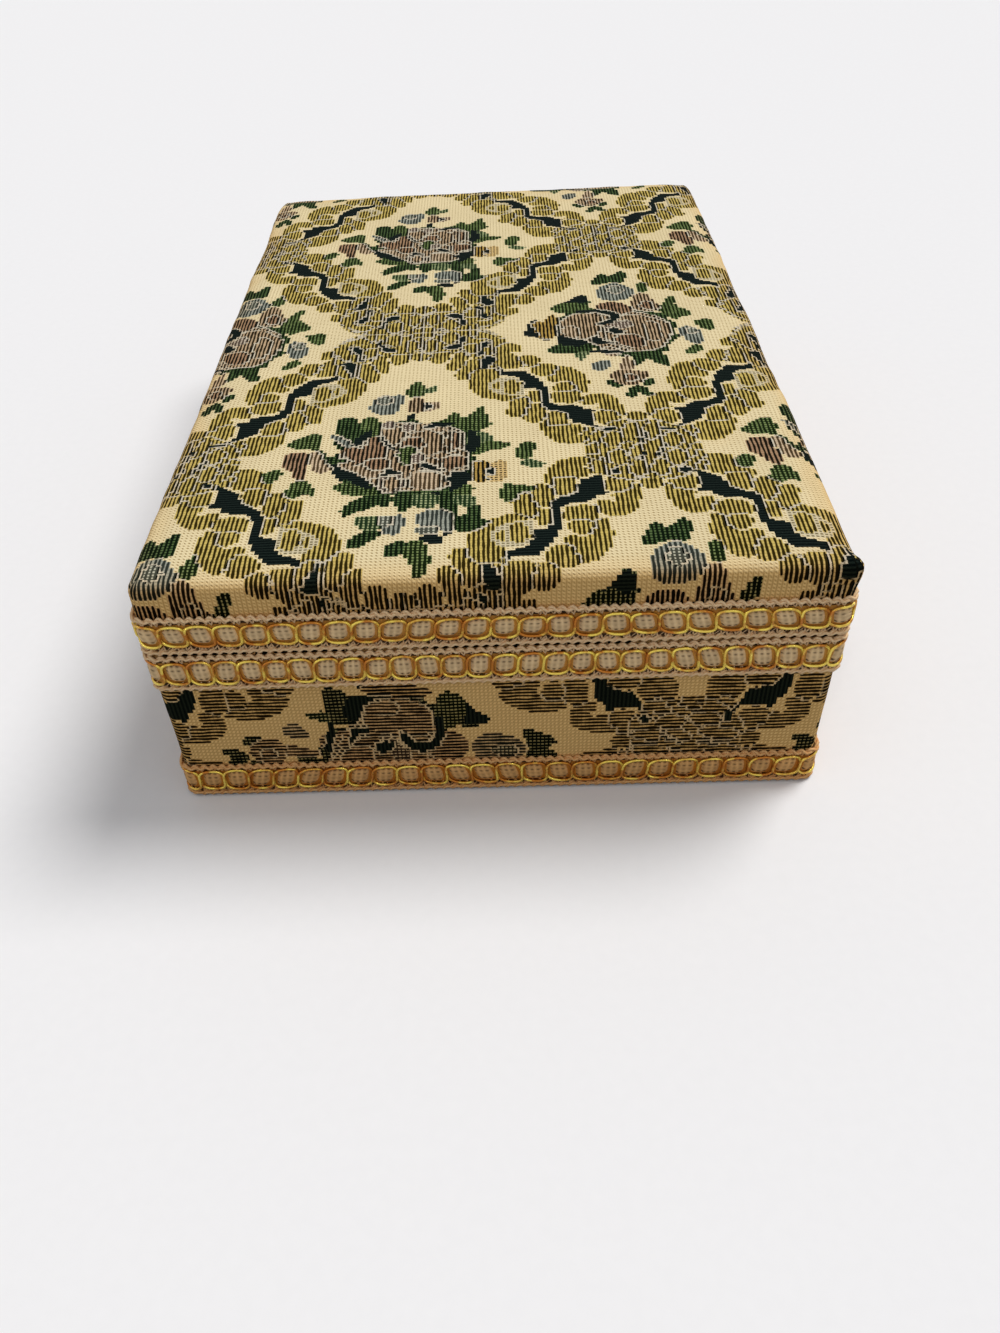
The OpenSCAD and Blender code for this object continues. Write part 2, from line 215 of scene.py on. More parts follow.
# The spray between two small medallions: a full rose, a blue flower, a bud and leaves.
LARGE_SPRAY = [
    ("core", [(-22, 6), (-19, 13), (-17, 16), (-15, 12), (-11, 15), (-10.5, 8), (-16, 3), (-20, 3.6)]),
    ("core", [(-21.4, -4.4), (-17, -5), (-19, -9), (-14, -12), (-10, -13), (-9.6, -18), (-14, -17),
        (-20, -11), (-21.6, -7)]),
    ("core", [(13.4, 13), (15, 16), (18.5, 14.5), (20.4, 13), (17.6, 10.6), (16.4, 2), (18.4, -4), (15, -2),
        (13.6, 1)]),
    ("core", [(-10.5, -15.5), (-6, -20.4), (0, -20), (9, -18.4), (10, -14), (14, -13), (16, -17),
        (12.4, -20), (12.6, -38.4), (9, -39), (9.4, -21), (-5, -21.8)]),
    ("core", [(-5.6, 20.2), (-1, 20.4), (1.6, 20.6), (2, 14.6), (4, 15.4), (5.4, 19.4), (6.6, 17),
        (9, 17.6), (9.6, 14.6), (13, 15), (13, 13), (8, 13.4), (4, 12.6), (0, 16.6), (-4, 17.4)]),
    ("dark leaf", [(-24, 11), (-19, 15), (-16, 12), (-14, 18), (-10, 20), (-9, 17), (-5, 19.4), (1, 20.6),
        (2, 17), (7, 18), (12, 20.6), (15, 17), (19, 15), (14.6, 11), (20.5, 5), (16, 0), (19.5, -5),
        (16, -8), (18, -13), (12, -15), (14, -22), (8, -18), (3, -18), (0, -22), (-4, -18), (-10, -20),
        (-11, -14), (-19, -14), (-17, -10), (-22.5, -7), (-19, -4), (-23, 0), (-19, 4)]),
    ("rose", [(-20, 6), (-15, 11), (-10, 17), (-4, 19), (3, 18), (9, 18), (14, 15), (15, 6), (17, -2),
        (16, -8), (12, -14), (9, -18), (0, -18.4), (-8, -17), (-12, -12), (-19, -9), (-21, -3)]),
    ("dark leaf", [(-23, 22), (-19, 24.2), (-16, 19), (-15.4, 13), (-14, 9.6), (-17, 6.8), (-20, 8),
        (-21.6, 14)]),
    ("leaf", [(-15, 24), (-11, 23), (-10, 15), (-11, 10), (-14.4, 13.6)]),
    ("blue", [(-25, 15), (-21, 12.6), (-17, 7.6), (-18, 5), (-22, 9)]),
    ("leaf", [(9, 18), (10, 20.5), (12, 24.5), (13.5, 20), (16, 20), (18, 23.5), (20.4, 28.5), (20.8, 22),
        (22.4, 18), (22, 15), (17, 13.5), (12, 15)]),
    ("pale leaf", oval(19.3, 7.6, 3.4, 4.4)),
    ("leaf", [(17.4, 5.6), (28.6, 6), (27, 3.2), (21, 2.2), (18.4, -0.6), (17, 1)]),
    ("leaf", [(31, 4), (33.4, 6.2), (34.8, 5), (34, 0), (32.6, -4), (30.3, -3), (30.4, 1)]),
    ("pale leaf", [(30.6, -4.4), (34, -4.4), (37.6, -6.6), (36, -8), (32, -7)]),
    ("leaf", [(25, -20), (26.6, -15.8), (28.6, -17), (34, -17.6), (33, -20), (29, -20.4), (28, -24.2),
        (26, -23.4)]),
    ("leaf", [(-21, -15.2), (-17, -13.4), (-10, -14), (-8, -19), (-14, -19.6), (-18, -17.4)]),
    ("dark leaf", [(-16.6, -29.5), (-17.2, -25.5), (-14.4, -22), (-10, -19.6), (-3.6, -20.4), (-5.4, -25),
        (-8, -23.4), (-11, -25.6), (-14, -27)]),
    ("dark leaf", [(-3, -20), (2, -19.6), (1, -25), (-1, -28), (-3, -24)]),
    ("pale leaf", [(1.4, -19.6), (8.2, -19.6), (7.6, -26.2), (1.6, -25.6)]),
    ("dark leaf", [(9, -18), (12, -18), (12.6, -30), (12, -36), (9.6, -36), (9.4, -28)]),
    ("pale leaf", [(12.6, -20), (18.6, -21), (18, -26.2), (13, -24.6)]),
    ("leaf", [(11.4, -16), (18, -16.2), (17, -20), (12.6, -19.8)]),
    ("dark leaf", [(12.6, -31), (16, -30.4), (16.4, -27), (19, -25), (19.4, -28), (18, -31), (22.2, -33),
        (20, -35), (16, -37), (12.6, -36)]),
    ("dark leaf", [(-14.6, -42), (-12, -37), (-8, -35.2), (-6, -36), (-9, -40), (-12, -42.6)]),
    ("dark leaf", [(-4.8, -46.6), (-3.6, -42), (0, -40.2), (1.2, -43), (-2, -46.6)]),
    ("leaf", [(1.4, -41), (4.6, -40.4), (6.6, -48), (6, -50.6), (4.6, -55.4), (3, -54.4), (3, -49),
        (1.4, -48)]),
    ("pale leaf", [(-14, -30), (-8, -29.4), (-6, -31), (-6, -34.6), (-11, -35.2)]),
    ("pale blue", [(-8.4, -29.4), (-3, -28.4), (-3.4, -34), (-6, -34.4)]),
    ("blue", [(-3.6, -28.6), (0, -28.4), (-0.8, -37.6), (-6, -37.6), (-6, -34.2), (-3.8, -33.6)]),
    ("blue", [(2.6, -27), (12.6, -27), (12.4, -38), (9, -36), (2.6, -34.4)]),
    ("pale blue", [(1.8, -34.4), (9.4, -34.6), (9, -38), (3.6, -38.4)]),
    ("core", [(3.6, -38.4), (9.6, -37.6), (10.2, -42), (5.4, -42)]),
    ("deep rose", [(-20, 5), (-17, 6), (-14, 5), (-13, 11), (-10, 12), (-8, 8), (-6, 2), (-8, -2),
        (-12, -4), (-17, -2), (-19, 1)]),
    ("pale rose", [(-19, -4.4), (-12, -4), (-8, -1), (-5, -5), (-6, -9), (-10, -12.6), (-16, -11),
        (-19, -8)]),
    ("deep rose", [(-14, -2.8), (-10, -0.6), (-5.6, -2), (-6.2, -7), (-9, -8.4), (-12, -6)]),
    ("rose", [(-10, 12), (-9, 16), (-6, 17.6), (-3, 16), (-2.6, 10), (-5, 4), (-8, 8)]),
    ("cream petal", oval(-7.6, 18, 1.9, 2.6)),
    ("cream petal", oval(-1.4, 16, 2, 2.6)),
    ("pale rose", [(2.6, 13.6), (6, 17.6), (9.6, 16), (9, 11.6)]),
    ("rose", [(-3, 10), (0, 12.6), (4, 14.2), (8, 12), (9.6, 8), (9, 2), (5, -1), (1, 2), (-2, 0),
        (-5, 4)]),
    ("deep rose", [(-4, 5), (-3, 9), (0, 10.6), (3, 9.4), (3.6, 4), (1.4, 2.6), (-1.6, 2.4)]),
    ("leaf", [(-3.6, 2.6), (-1, 5), (1.6, 3), (1.6, -3), (-1, -5.2), (-3.4, -2.4)]),
    ("rose", oval(12, 7, 2.9, 7.8)),
    ("deep rose", oval(12, 7.4, 1.5, 6)),
    ("cream petal", [(1, 2), (4.6, -0.6), (4, -3.4), (1.4, -4.6), (-0.6, -4)]),
    ("rose", [(4.6, -0.8), (8, -2.4), (7.4, -8), (2, -9), (0, -6), (1, -4.4), (4, -3.4)]),
    ("deep rose", [(8, -2), (14, -1), (17, -3), (16, -7.4), (12, -8.6), (9, -8)]),
    ("rose", [(9, -8.2), (15.6, -7.8), (14, -12), (11.4, -13.6), (9, -11)]),
    ("pale rose", [(-1, -9), (7, -9), (9, -11), (9.4, -17), (5, -18.2), (0, -16.4)]),
    ("cream petal", oval(-5, -14.2, 3.6, 5)),
    ("rose", oval(-4.6, -14.4, 2.2, 3.8)),
    ("core", [(-6.4, -6.4), (-3, -7.6), (-1.6, -10.6), (-4.4, -9.6), (-8.6, -11.6), (-7.6, -9)]),
    ("core", [(-22.6, 1), (-20.4, -2.4), (-19.6, -5.6), (-14.6, -8.8), (-11.2, -12.2), (-9.4, -16.8),
        (-13, -15.6), (-18.4, -11), (-22.4, -7)]),
    ("core", [(10.6, -9.4), (13.6, -9), (16.6, -8.6), (17.6, -13.4), (14.4, -17), (11.2, -19.6),
        (10.4, -14.4)]),
    ("core", [(-18, 7), (-15.8, 12.8), (-12.4, 16), (-11.2, 13), (-13.8, 9.4), (-15.4, 5.6)]),
    ("core", [(14.8, 0.6), (16, 8), (15.2, 14.8), (18.4, 12.6), (20, 6), (17.8, 0)]),
    ("core", [(3, 14.6), (7, 15.4), (11.4, 16.4), (12, 18.2), (7, 18), (2.6, 16.8)]),
    ("core", [(-9.4, 8.4), (-6, 3), (-3.2, 3.6), (-5, 5), (-8, 9.4), (-9, 12.6)]),
    ("core", [(1.8, -4.6), (4.6, -4), (8.4, -7.6), (9.4, -9.6), (6.6, -8.4), (2.8, -6.8)]),
    ("leaf", [(-36.4, 9), (-33, 11.6), (-29, 14.6), (-27, 13.6), (-26.8, 8), (-28, 5), (-30, 7),
        (-34, 6.6)]),
    ("dark leaf", [(-27, 6), (-25.4, 4), (-24, 0), (-17.6, -1.4), (-18.6, -2.8), (-25, -2), (-27, 2)]),
    ("leaf", [(-41.4, -9), (-40, -6), (-36.4, -4), (-36, -8), (-39, -12)]),
    ("leaf", [(-33.6, -18.4), (-32, -12), (-29, -11), (-27, -13), (-25.4, -20), (-28, -16.6), (-31, -19)]),
    ("deep rose", [(-36.4, 3), (-34, 4.6), (-29.4, 4.6), (-28.4, -4), (-28.8, -11.6), (-32, -10), (-33, -6),
        (-37, -3)]),
    ("pale rose", [(-29.4, 4.4), (-27, 4.5), (-25.4, 2), (-24.4, -2), (-21.4, -5), (-24.4, -8),
        (-28.2, -5)]),
    ("blue", [(-14, 27), (-13.4, 33), (-10, 37), (-7, 35), (-5, 36.6), (-3, 34), (-4, 30), (-5, 26),
        (-8, 23.6), (-11, 25)]),
    ("pale blue", oval(-9.6, 32.6, 2.2, 3)),
    ("core", [(-1.6, 25), (-2.4, 20), (-0.4, 20.4), (-0.2, 25)]),
    ("leaf", [(-2, 34), (-2.8, 39), (0, 45.4), (2.2, 41), (2, 34.6)]),
    ("pale leaf", [(2, 37.6), (6, 41.4), (6.9, 39.4), (3, 36.2)]),
    ("rose", [(-2, 34), (3, 34), (2.8, 25), (0, 24.4), (-2.6, 26)]),
    ("pale rose", [(3, 31.4), (7.6, 31), (8, 27), (4, 24.6), (2.8, 25)]),
    ("core", oval(3.4, 28.2, 1.3, 2.4)),
    ("ochre", [(17, -4), (23, -4), (22, -8), (22, -14), (19, -15.6), (17, -12)]),
    ("pale ochre", [(23, -4), (27.6, -3.4), (27, -15), (21, -14.6), (22, -8)]),
    ("core", oval(22.6, -9.6, 1.4, 1.8)),
]

# The spray between two large medallions: a double rose with flowers all round it.
SMALL_SPRAY = [
    ("core", [(-10, 9), (-5, 10.4), (-4, 6), (-1, 9), (1.4, 4), (-4, 2), (-6, -2), (-8.6, -11), (-4, -16),
        (2, -21.4), (8, -22), (14, -19.6), (17, -13), (15, -6), (8, -17), (0, -14)]),
    ("dark leaf", [(-22, 7), (-17, 7), (-15, 12.6), (-9, 10), (-8, 14.6), (-3, 11), (4, 11), (9, 13.6),
        (11, 9), (18, 8), (17, 2), (21, -1), (17.4, -6), (20, -11), (15, -15), (15, -21), (10, -20),
        (5, -21), (0, -23.6), (-3, -18), (-8, -18), (-8, -12), (-16, -11.6), (-17, -8), (-21, -6),
        (-18, -1), (-23, 2)]),
    ("rose", [(-19, 4), (-12, 10), (-6, 12), (0, 10), (8, 10), (14, 6), (18, 0), (18, -8), (15, -15),
        (8, -21), (2, -20), (-4, -18), (-10, -12), (-18, -8)]),
    ("leaf", [(-20.6, 14), (-20, 16.6), (-16, 19.6), (-12, 20.4), (-8.4, 17), (-7.4, 11), (-11, 9),
        (-14, 12), (-18, 11.4)]),
    ("dark leaf", [(-12.4, 20), (-10, 26.2), (-8.4, 24), (-7.6, 17.4), (-9.6, 17)]),
    ("leaf", [(15.6, 12), (18, 15), (21, 23), (22.6, 22), (20.6, 14), (24.6, 10.2), (26.6, 6.6), (22.4, 5),
        (20, 2.4), (18.4, 6)]),
    ("leaf", [(25.8, 2), (28, 0), (30.6, 2.6), (32.6, -1), (31.6, -6.4), (28.4, -5)]),
    ("dark leaf", [(-24, -18.4), (-22, -14), (-18, -12), (-16, -9.4), (-11, -10.4), (-9.4, -14), (-10, -18),
        (-15, -19)]),
    ("pale leaf", [(-15, -19.2), (-10, -18.2), (-12, -22), (-13, -25.4)]),
    ("dark leaf", [(3.4, -30.4), (4, -22), (7, -19.4), (12, -18), (13, -25), (13.6, -31.4), (10.4, -29),
        (8, -24), (6, -27)]),
    ("dark leaf", [(-1.2, -50), (0, -45), (3, -43), (5, -45), (6, -50), (4, -49), (2.4, -46), (1, -50)]),
    ("dark leaf", [(-5.8, -38), (-5.6, -42), (-3, -44.4), (-2.6, -40)]),
    ("dark leaf", [(4.6, -40), (8.2, -38.4), (7.4, -42), (5, -43.6)]),
    ("leaf", [(10.6, 27), (10.4, 32), (12.6, 36.4), (13.6, 31), (12.8, 26.6)]),
    ("leaf", [(20.4, -23.4), (21.4, -20), (25, -16), (26.2, -19), (23, -22.6)]),
    ("core", [(-31.6, -5), (-30, 0), (-28.4, 6.6), (-26, 7.6), (-27, 0), (-26, -9), (-22, -10), (-22, -7),
        (-28, -7)]),
    ("ochre", [(-28, 5), (-26, 6.6), (-24, 4), (-22.6, 9), (-20.4, 11), (-19, 7), (-19.4, 2), (-20, -5),
        (-22, -9.4), (-25.6, -8), (-26.4, -4), (-28, 0)]),
    ("dark leaf", [(-5.6, 34), (-4.4, 39), (-0.6, 44.6), (1, 40.6), (3.4, 42), (6.6, 46.4), (7.2, 43),
        (6.2, 35), (1, 37)]),
    ("blue", [(-4.8, 25), (-3.6, 31), (-1.2, 34.2), (2, 35.8), (6, 34.2), (8.2, 31), (10, 27), (7, 22),
        (2, 20), (-3, 21)]),
    ("pale blue", oval(2.6, 29.4, 2.6, 3.6)),
    ("rose", [(7, 18), (8, 24), (10, 26.6), (13, 26), (15, 20), (17, 14), (14, 9), (8, 10.6), (6, 14)]),
    ("deep rose", [(9, 14), (11, 20), (14, 18), (15, 12), (12, 10.6)]),
    ("deep rose", [(-6, 10), (-5.4, 18), (0, 19.6), (5, 18), (8.4, 10.4), (3, 8), (0, 5), (-3, 8)]),
    ("rose", [(-19, 1), (-18, 6), (-14, 9.6), (-9, 10), (-5, 9), (-4, 3), (-5, -2), (-7, -8), (-12, -10),
        (-17, -9), (-19, -4)]),
    ("pale rose", [(-18.4, 0), (-14, 1.4), (-12.6, -3), (-13, -9), (-17, -8.6), (-18.6, -4)]),
    ("rose", [(2, 7), (8, 8), (13, 4), (17.6, 0), (18, -6), (16, -13), (13, -19), (6, -21), (1, -18),
        (-3, -14), (-5, -8), (-4, -2), (0, 2)]),
    ("deep rose", [(-1.6, -9), (3, -7.6), (7, -9), (9, -14), (6, -18.6), (1, -16.6), (-1.6, -13)]),
    ("rose", [(9.4, 2), (13.4, 1), (15, -6), (13, -14), (9.6, -14), (8.6, -6)]),
    ("cream petal", [(-5, -4), (-2, 0.6), (4, 3.6), (6.4, 0), (4, -3.4), (0, -2.6), (-3, -6)]),
    ("core", oval(0, -5.4, 2.6, 1.8)),
    ("rose", [(-10, -10), (-5, -9), (-2, -14), (0.6, -18), (-1, -20.6), (-5, -20), (-7, -15)]),
    ("pale rose", [(-6, -15.4), (-2, -16.4), (0.6, -20.6), (-3, -23.4), (-6.2, -20.4)]),
    ("blue", [(-11, -28), (-9, -26), (-5, -24), (-3.8, -28), (-6, -32), (-9.4, -32.4)]),
    ("blue", [(20, -5), (22, -2.4), (26, -3.8), (27.6, -8), (27.6, -14), (24.6, -16.6), (21.6, -14),
        (20.4, -9)]),
    ("pale blue", oval(24.2, -6.6, 2, 2.4)),
    ("pale rose", [(0, -24), (2, -22), (3, -29), (2.6, -33), (-2, -32), (-2, -29)]),
    ("rose", [(-2.6, -32), (3, -32.6), (6, -34), (7.6, -34.6), (6, -38), (3, -42.4), (-1, -43), (-5, -39),
        (-5.2, -34)]),
    ("deep rose", oval(1, -37.6, 2, 2.6)),
    ("core", [(-20, -11), (-20.6, -3), (-19, -0.6), (-18.6, -6), (-15, -9.4), (-11, -9.6), (-10.4, -13.4),
        (-14, -14.4), (-19, -13.4)]),
    ("core", [(-10.8, -17.2), (-6.6, -17.4), (-2, -19), (1, -18.8), (0.6, -21.4), (-4, -21), (-7, -19.6),
        (-10.6, -18.8)]),
    ("core", [(-9, -12.6), (-8.6, -7.6), (-6.4, -7.4), (-5.6, -11), (-2.4, -13), (-1, -14.6), (-4, -14),
        (-6.6, -13.6)]),
    ("core", [(-3.6, -5.2), (-2.4, -2.2), (-1, -1.4), (1.4, -3), (0.6, -5.4)]),
    ("core", [(-7.6, 0.4), (-3.6, 3.4), (-1.8, 4.6), (-2, 8.2), (-4.4, 9.8), (-8, 10.6), (-12.4, 10.4),
        (-12.4, 13), (-7, 13.4), (-1, 11.6), (2, 8.8), (2, 3.4), (-3, -0.4)]),
    ("core", [(-17.8, 18.6), (-14, 21), (-10.6, 25.8), (-8.4, 25), (-8, 18.6), (-10.8, 18.4), (-13, 20)]),
]


def smooth_outline(points, rounds, grow):
    """Cuts the corners of a closed outline: each side keeps its points at 1/4 and 3/4. Before
    that each point may move out by `grow` along the mean normal of its two sides."""
    p = np.array(points, float)
    if grow:
        ahead = np.roll(p, -1, axis=0) - np.roll(p, 1, axis=0)
        ahead = ahead / np.linalg.norm(ahead, axis=1)[:, None]
        x, y = p.T
        turn = np.sign(x @ np.roll(y, -1) - y @ np.roll(x, -1))
        p = p + grow * turn * np.stack([ahead[:, 1], -ahead[:, 0]], axis=1)
    for _ in range(rounds):
        q = np.roll(p, -1, axis=0)
        p = np.stack([0.75 * p + 0.25 * q, 0.25 * p + 0.75 * q], axis=1).reshape(-1, 2)
    return p


def inside(outline, x, y):
    """True where (x, y) lies in a closed outline: a ray to the right crosses it an odd number
    of times."""
    odd = np.zeros(x.shape, bool)
    low, high = outline.min(axis=0), outline.max(axis=0)
    near = (x >= low[0]) & (x <= high[0]) & (y >= low[1]) & (y <= high[1])
    px, py = x[near], y[near]
    hit = np.zeros(px.shape, bool)
    for (x0, y0), (x1, y1) in zip(outline, np.roll(outline, -1, axis=0)):
        if y0 != y1:
            spans = (py > y0) != (py > y1)
            hit ^= spans & (px < x0 + (py - y0) / (y1 - y0) * (x1 - x0))
    odd[near] = hit
    return odd


GOLD_UNDERLAY = 1.1                    # how far gold reaches under its neighbours, in mm
LEAF_FULLER = 0.7                      # how much fuller than its outline a leaf is, in mm


def draw(shapes, x, y, patch, kind, first):
    """Lays shapes over one another: each sets the yarn and a patch number where it covers.
    First the gold ones, made larger, lie beneath all the rest, so that they close up. An oval's
    corners are cut once, any other outline's twice."""
    for grow in (GOLD_UNDERLAY, 0.0):
        for i, (yarn, outline) in enumerate(shapes):
            if grow and yarn != "gold":
                continue
            fuller = LEAF_FULLER if "leaf" in yarn else grow
            rounds = 1 if len(outline) == OVAL_POINTS else 2
            cover = inside(smooth_outline(outline, rounds, fuller), x, y)
            kind[cover] = KINDS.index(yarn)
            patch[cover] = first + i
    return first + len(shapes)


def drawing(u, v):
    """The yarn and the patch number at cloth points (u, v) in mm. The drawing repeats every
    REPEAT_X by REPEAT_Y, and the trellis is mirrored about both medallions."""
    su, sv = SMALL_MEDALLION

    def off(value, middle, repeat):
        return (value - middle + repeat / 2) % repeat - repeat / 2

    patch, kind = np.zeros(u.shape, int), np.zeros(u.shape, int)
    lx, ly = off(u, su + REPEAT_X / 2, REPEAT_X), off(v, sv + REPEAT_Y / 2, REPEAT_Y)
    sx, sy = off(u, su, REPEAT_X), off(v, sv, REPEAT_Y)
    n = 1
    for mirror in (1, -1):        # each half numbers its own patches, so outlines part them
        half = mirror * lx > 0
        for shapes, x, y in ((SCROLLS, lx, ly), (SMALL_SCROLLS, sx, sy)):
            for flip in (1, -1):
                quarter = (half if x is lx else mirror * sx > 0) & (flip * y > 0)
                p, k = np.zeros(u.shape, int), np.zeros(u.shape, int)
                n = draw(shapes, np.abs(x), np.abs(y), p, k, n)
                patch[quarter & (p > 0)] = p[quarter & (p > 0)]
                kind[quarter & (p > 0)] = k[quarter & (p > 0)]
    n = draw(LARGE_MEDALLION, lx, ly, patch, kind, n)
    n = draw(LARGE_SPRAY, sx, off(v, sv + REPEAT_Y / 2, REPEAT_Y), patch, kind, n)
    draw(SMALL_SPRAY, lx, off(v, sv, REPEAT_Y), patch, kind, n)
    return kind, patch


LATTICE = 0.2                                  # mm between the points where one repeat is drawn
ONE_REPEAT = drawing(*np.meshgrid(np.arange(0, REPEAT_X, LATTICE), np.arange(0, REPEAT_Y, LATTICE)))


def brocade(u, v):
    """The yarn and patch at cloth points (u, v) in mm, looked up in the one drawn repeat."""
    col, row = ((u % REPEAT_X) / LATTICE).astype(int), ((v % REPEAT_Y) / LATTICE).astype(int)
    return ONE_REPEAT[0][row, col], ONE_REPEAT[1][row, col]


# Meshes from arrays.


def put_in_scene(name, data):
    """A new object that holds a mesh, camera or lamp, linked to the scene."""
    obj = bpy.data.objects.new(name, data)
    bpy.context.scene.collection.objects.link(obj)
    return obj


def smooth_shaded(mesh):
    mesh.polygons.foreach_set("use_smooth", np.ones(len(mesh.polygons), bool))


def new_object(name, mesh, material):
    """Puts a finished mesh in the scene with one material, smooth shaded."""
    smooth_shaded(mesh)
    mesh.materials.append(material)
    return put_in_scene(name, mesh)


def grid_faces(rows, cols):
    """Quads of a grid with that many points: (r, c), (r, c+1), (r+1, c+1), (r+1, c)."""
    r, c = np.meshgrid(np.arange(rows - 1), np.arange(cols - 1), indexing="ij")
    corner = r * cols + c
    return np.stack([corner, corner + 1, corner + cols + 1, corner + cols], -1).reshape(-1, 4)


def grids_object(name, grids, material, uv_names=("Surface",), face_values=None, weld=1e-6):
    """One piece from several point grids. Each grid is (points[r, c, 3], uv[r, c, 2], ...), with
    one uv array for each name. face_values maps an attribute's name to its numbers, four for
    each face. Points that coincide at the seams are joined."""
    points, faces, uvs, start = [], [], [[] for _ in uv_names], 0
    for grid in grids:
        rows, cols = grid[0].shape[:2]
        points.append(grid[0].reshape(-1, 3))
        quads = grid_faces(rows, cols)
        faces.append(quads + start)
        for held, uv in zip(uvs, grid[1:]):
            held.append(uv.reshape(-1, 2)[quads].reshape(-1, 2))
        start += rows * cols
    mesh = bpy.data.meshes.new(name)
    mesh.from_pydata(np.concatenate(points), [], np.concatenate(faces))
    for uv_name, held in zip(uv_names, uvs):
        layer = mesh.uv_layers.new(name=uv_name)
        layer.data.foreach_set("uv", np.concatenate(held).astype(np.float32).ravel())
    for key, values in (face_values or {}).items():
        held = mesh.attributes.new(key, "FLOAT_COLOR", "FACE")
        held.data.foreach_set("color", values.astype(np.float32).ravel())
    if weld:
        whole = bmesh.new()
        whole.from_mesh(mesh)
        bmesh.ops.remove_doubles(whole, verts=whole.verts, dist=weld)
        whole.to_mesh(mesh)
        whole.free()
    return new_object(name, mesh, material)


CORNER_SIGNS = np.array([(-1, -1), (1, -1), (1, 1), (-1, 1)])


def outline_point(t, out):
    """The point at arc length t round the box's outline, pushed out by `out`, and the outward
    normal there. t is 0 in the middle of the front and grows to the right, seen from the front.
    The outline is a rectangle of half sizes STRAIGHT_X and STRAIGHT_Y whose corners are arcs of
    CORNER_R: point = rectangle + (CORNER_R + out) * normal. Where that radius is below zero
    the rectangle shrinks instead, so an inner corner is a plain mitre."""
    t, out = np.broadcast_arrays(np.asarray(t, float), np.asarray(out, float))
    walk = (t + STRAIGHT_X) % AROUND
    lengths = np.array([2 * STRAIGHT_X, CORNER_ARC, 2 * STRAIGHT_Y, CORNER_ARC] * 2)
    ends = np.cumsum(lengths)
    part = np.searchsorted(ends, walk, side="right").clip(0, 7)
    along = walk - (ends - lengths)[part]
    side, on_arc = part // 2, part % 2
    heading = side * math.pi / 2
    normal = heading - math.pi / 2 + on_arc * along / CORNER_R
    start = CORNER_SIGNS[(side + on_arc) % 4] * (STRAIGHT_X, STRAIGHT_Y)
    run = (1 - on_arc) * along
    inset = np.minimum(CORNER_R + out, 0)
    x = np.clip(start[..., 0] + run * np.cos(heading), -STRAIGHT_X - inset, STRAIGHT_X + inset)
    y = np.clip(start[..., 1] + run * np.sin(heading), -STRAIGHT_Y - inset, STRAIGHT_Y + inset)
    radius = np.maximum(CORNER_R + out, 0)
    nx, ny = np.cos(normal), np.sin(normal)
    return x + radius * nx, y + radius * ny, nx, ny


def rounded_path(corners, radii):
    """A path through (out, z) corners, each rounded by an arc of its radius, as dense points
    with the length run so far. The arc touches both sides at radius * tan(turn / 2)."""
    corners = [np.array(c, float) for c in corners]
    points = [corners[0]]
    for before, here, after, radius in zip(corners, corners[1:], corners[2:], radii):
        a, b = before - here, after - here
        a, b = a / np.linalg.norm(a), b / np.linalg.norm(b)
        half = math.acos(float(np.clip(a @ b, -1, 1))) / 2
        reach = radius / math.tan(half)
        middle = here + (a + b) / np.linalg.norm(a + b) * radius / math.sin(half)
        p, q = here + a * reach - middle, here + b * reach - middle
        sweep = math.acos(float(np.clip(p @ q / radius ** 2, -1, 1)))
        k = np.linspace(0, 1, 9)[:, None]
        arc = np.sin((1 - k) * sweep) * p + np.sin(k * sweep) * q
        points += list(middle + arc / math.sin(sweep))
    points = np.array(points + [corners[-1]])
    run = np.concatenate([[0], np.cumsum(np.linalg.norm(np.diff(points, axis=0), axis=1))])
    return points, run


def path_at(path, s):
    """The (out, z) points of a rounded path at the lengths s."""
    points, run = path
    return np.interp(s, run, points[:, 0]), np.interp(s, run, points[:, 1])


def ring_grid(t, out, z):
    """Points of a band round the box: columns at arc lengths t, rows at (out, z)."""
    x, y, _, _ = outline_point(t[None, :], out[:, None])
    return np.stack([x, y, np.broadcast_to(z[:, None], x.shape)], axis=-1)


FULL_TURN = 6.28


def lumps(x, y, size, seed):
    """Smooth uneven ground, about -1 to 1: half the sum of six sine waves whose lengths are near
    `size`, in seeded directions and phases."""
    rng = np.random.default_rng(seed)
    total = 0.0
    for turn, phase, stretch in zip(*(rng.uniform(0, most, 6) for most in (FULL_TURN, FULL_TURN)),
                                    rng.uniform(0.7, 1.5, 6)):
        across = x * math.cos(turn) + y * math.sin(turn)
        total = total + np.sin(FULL_TURN / (size * stretch) * across + phase)
    return total / 2


# Node recipes.


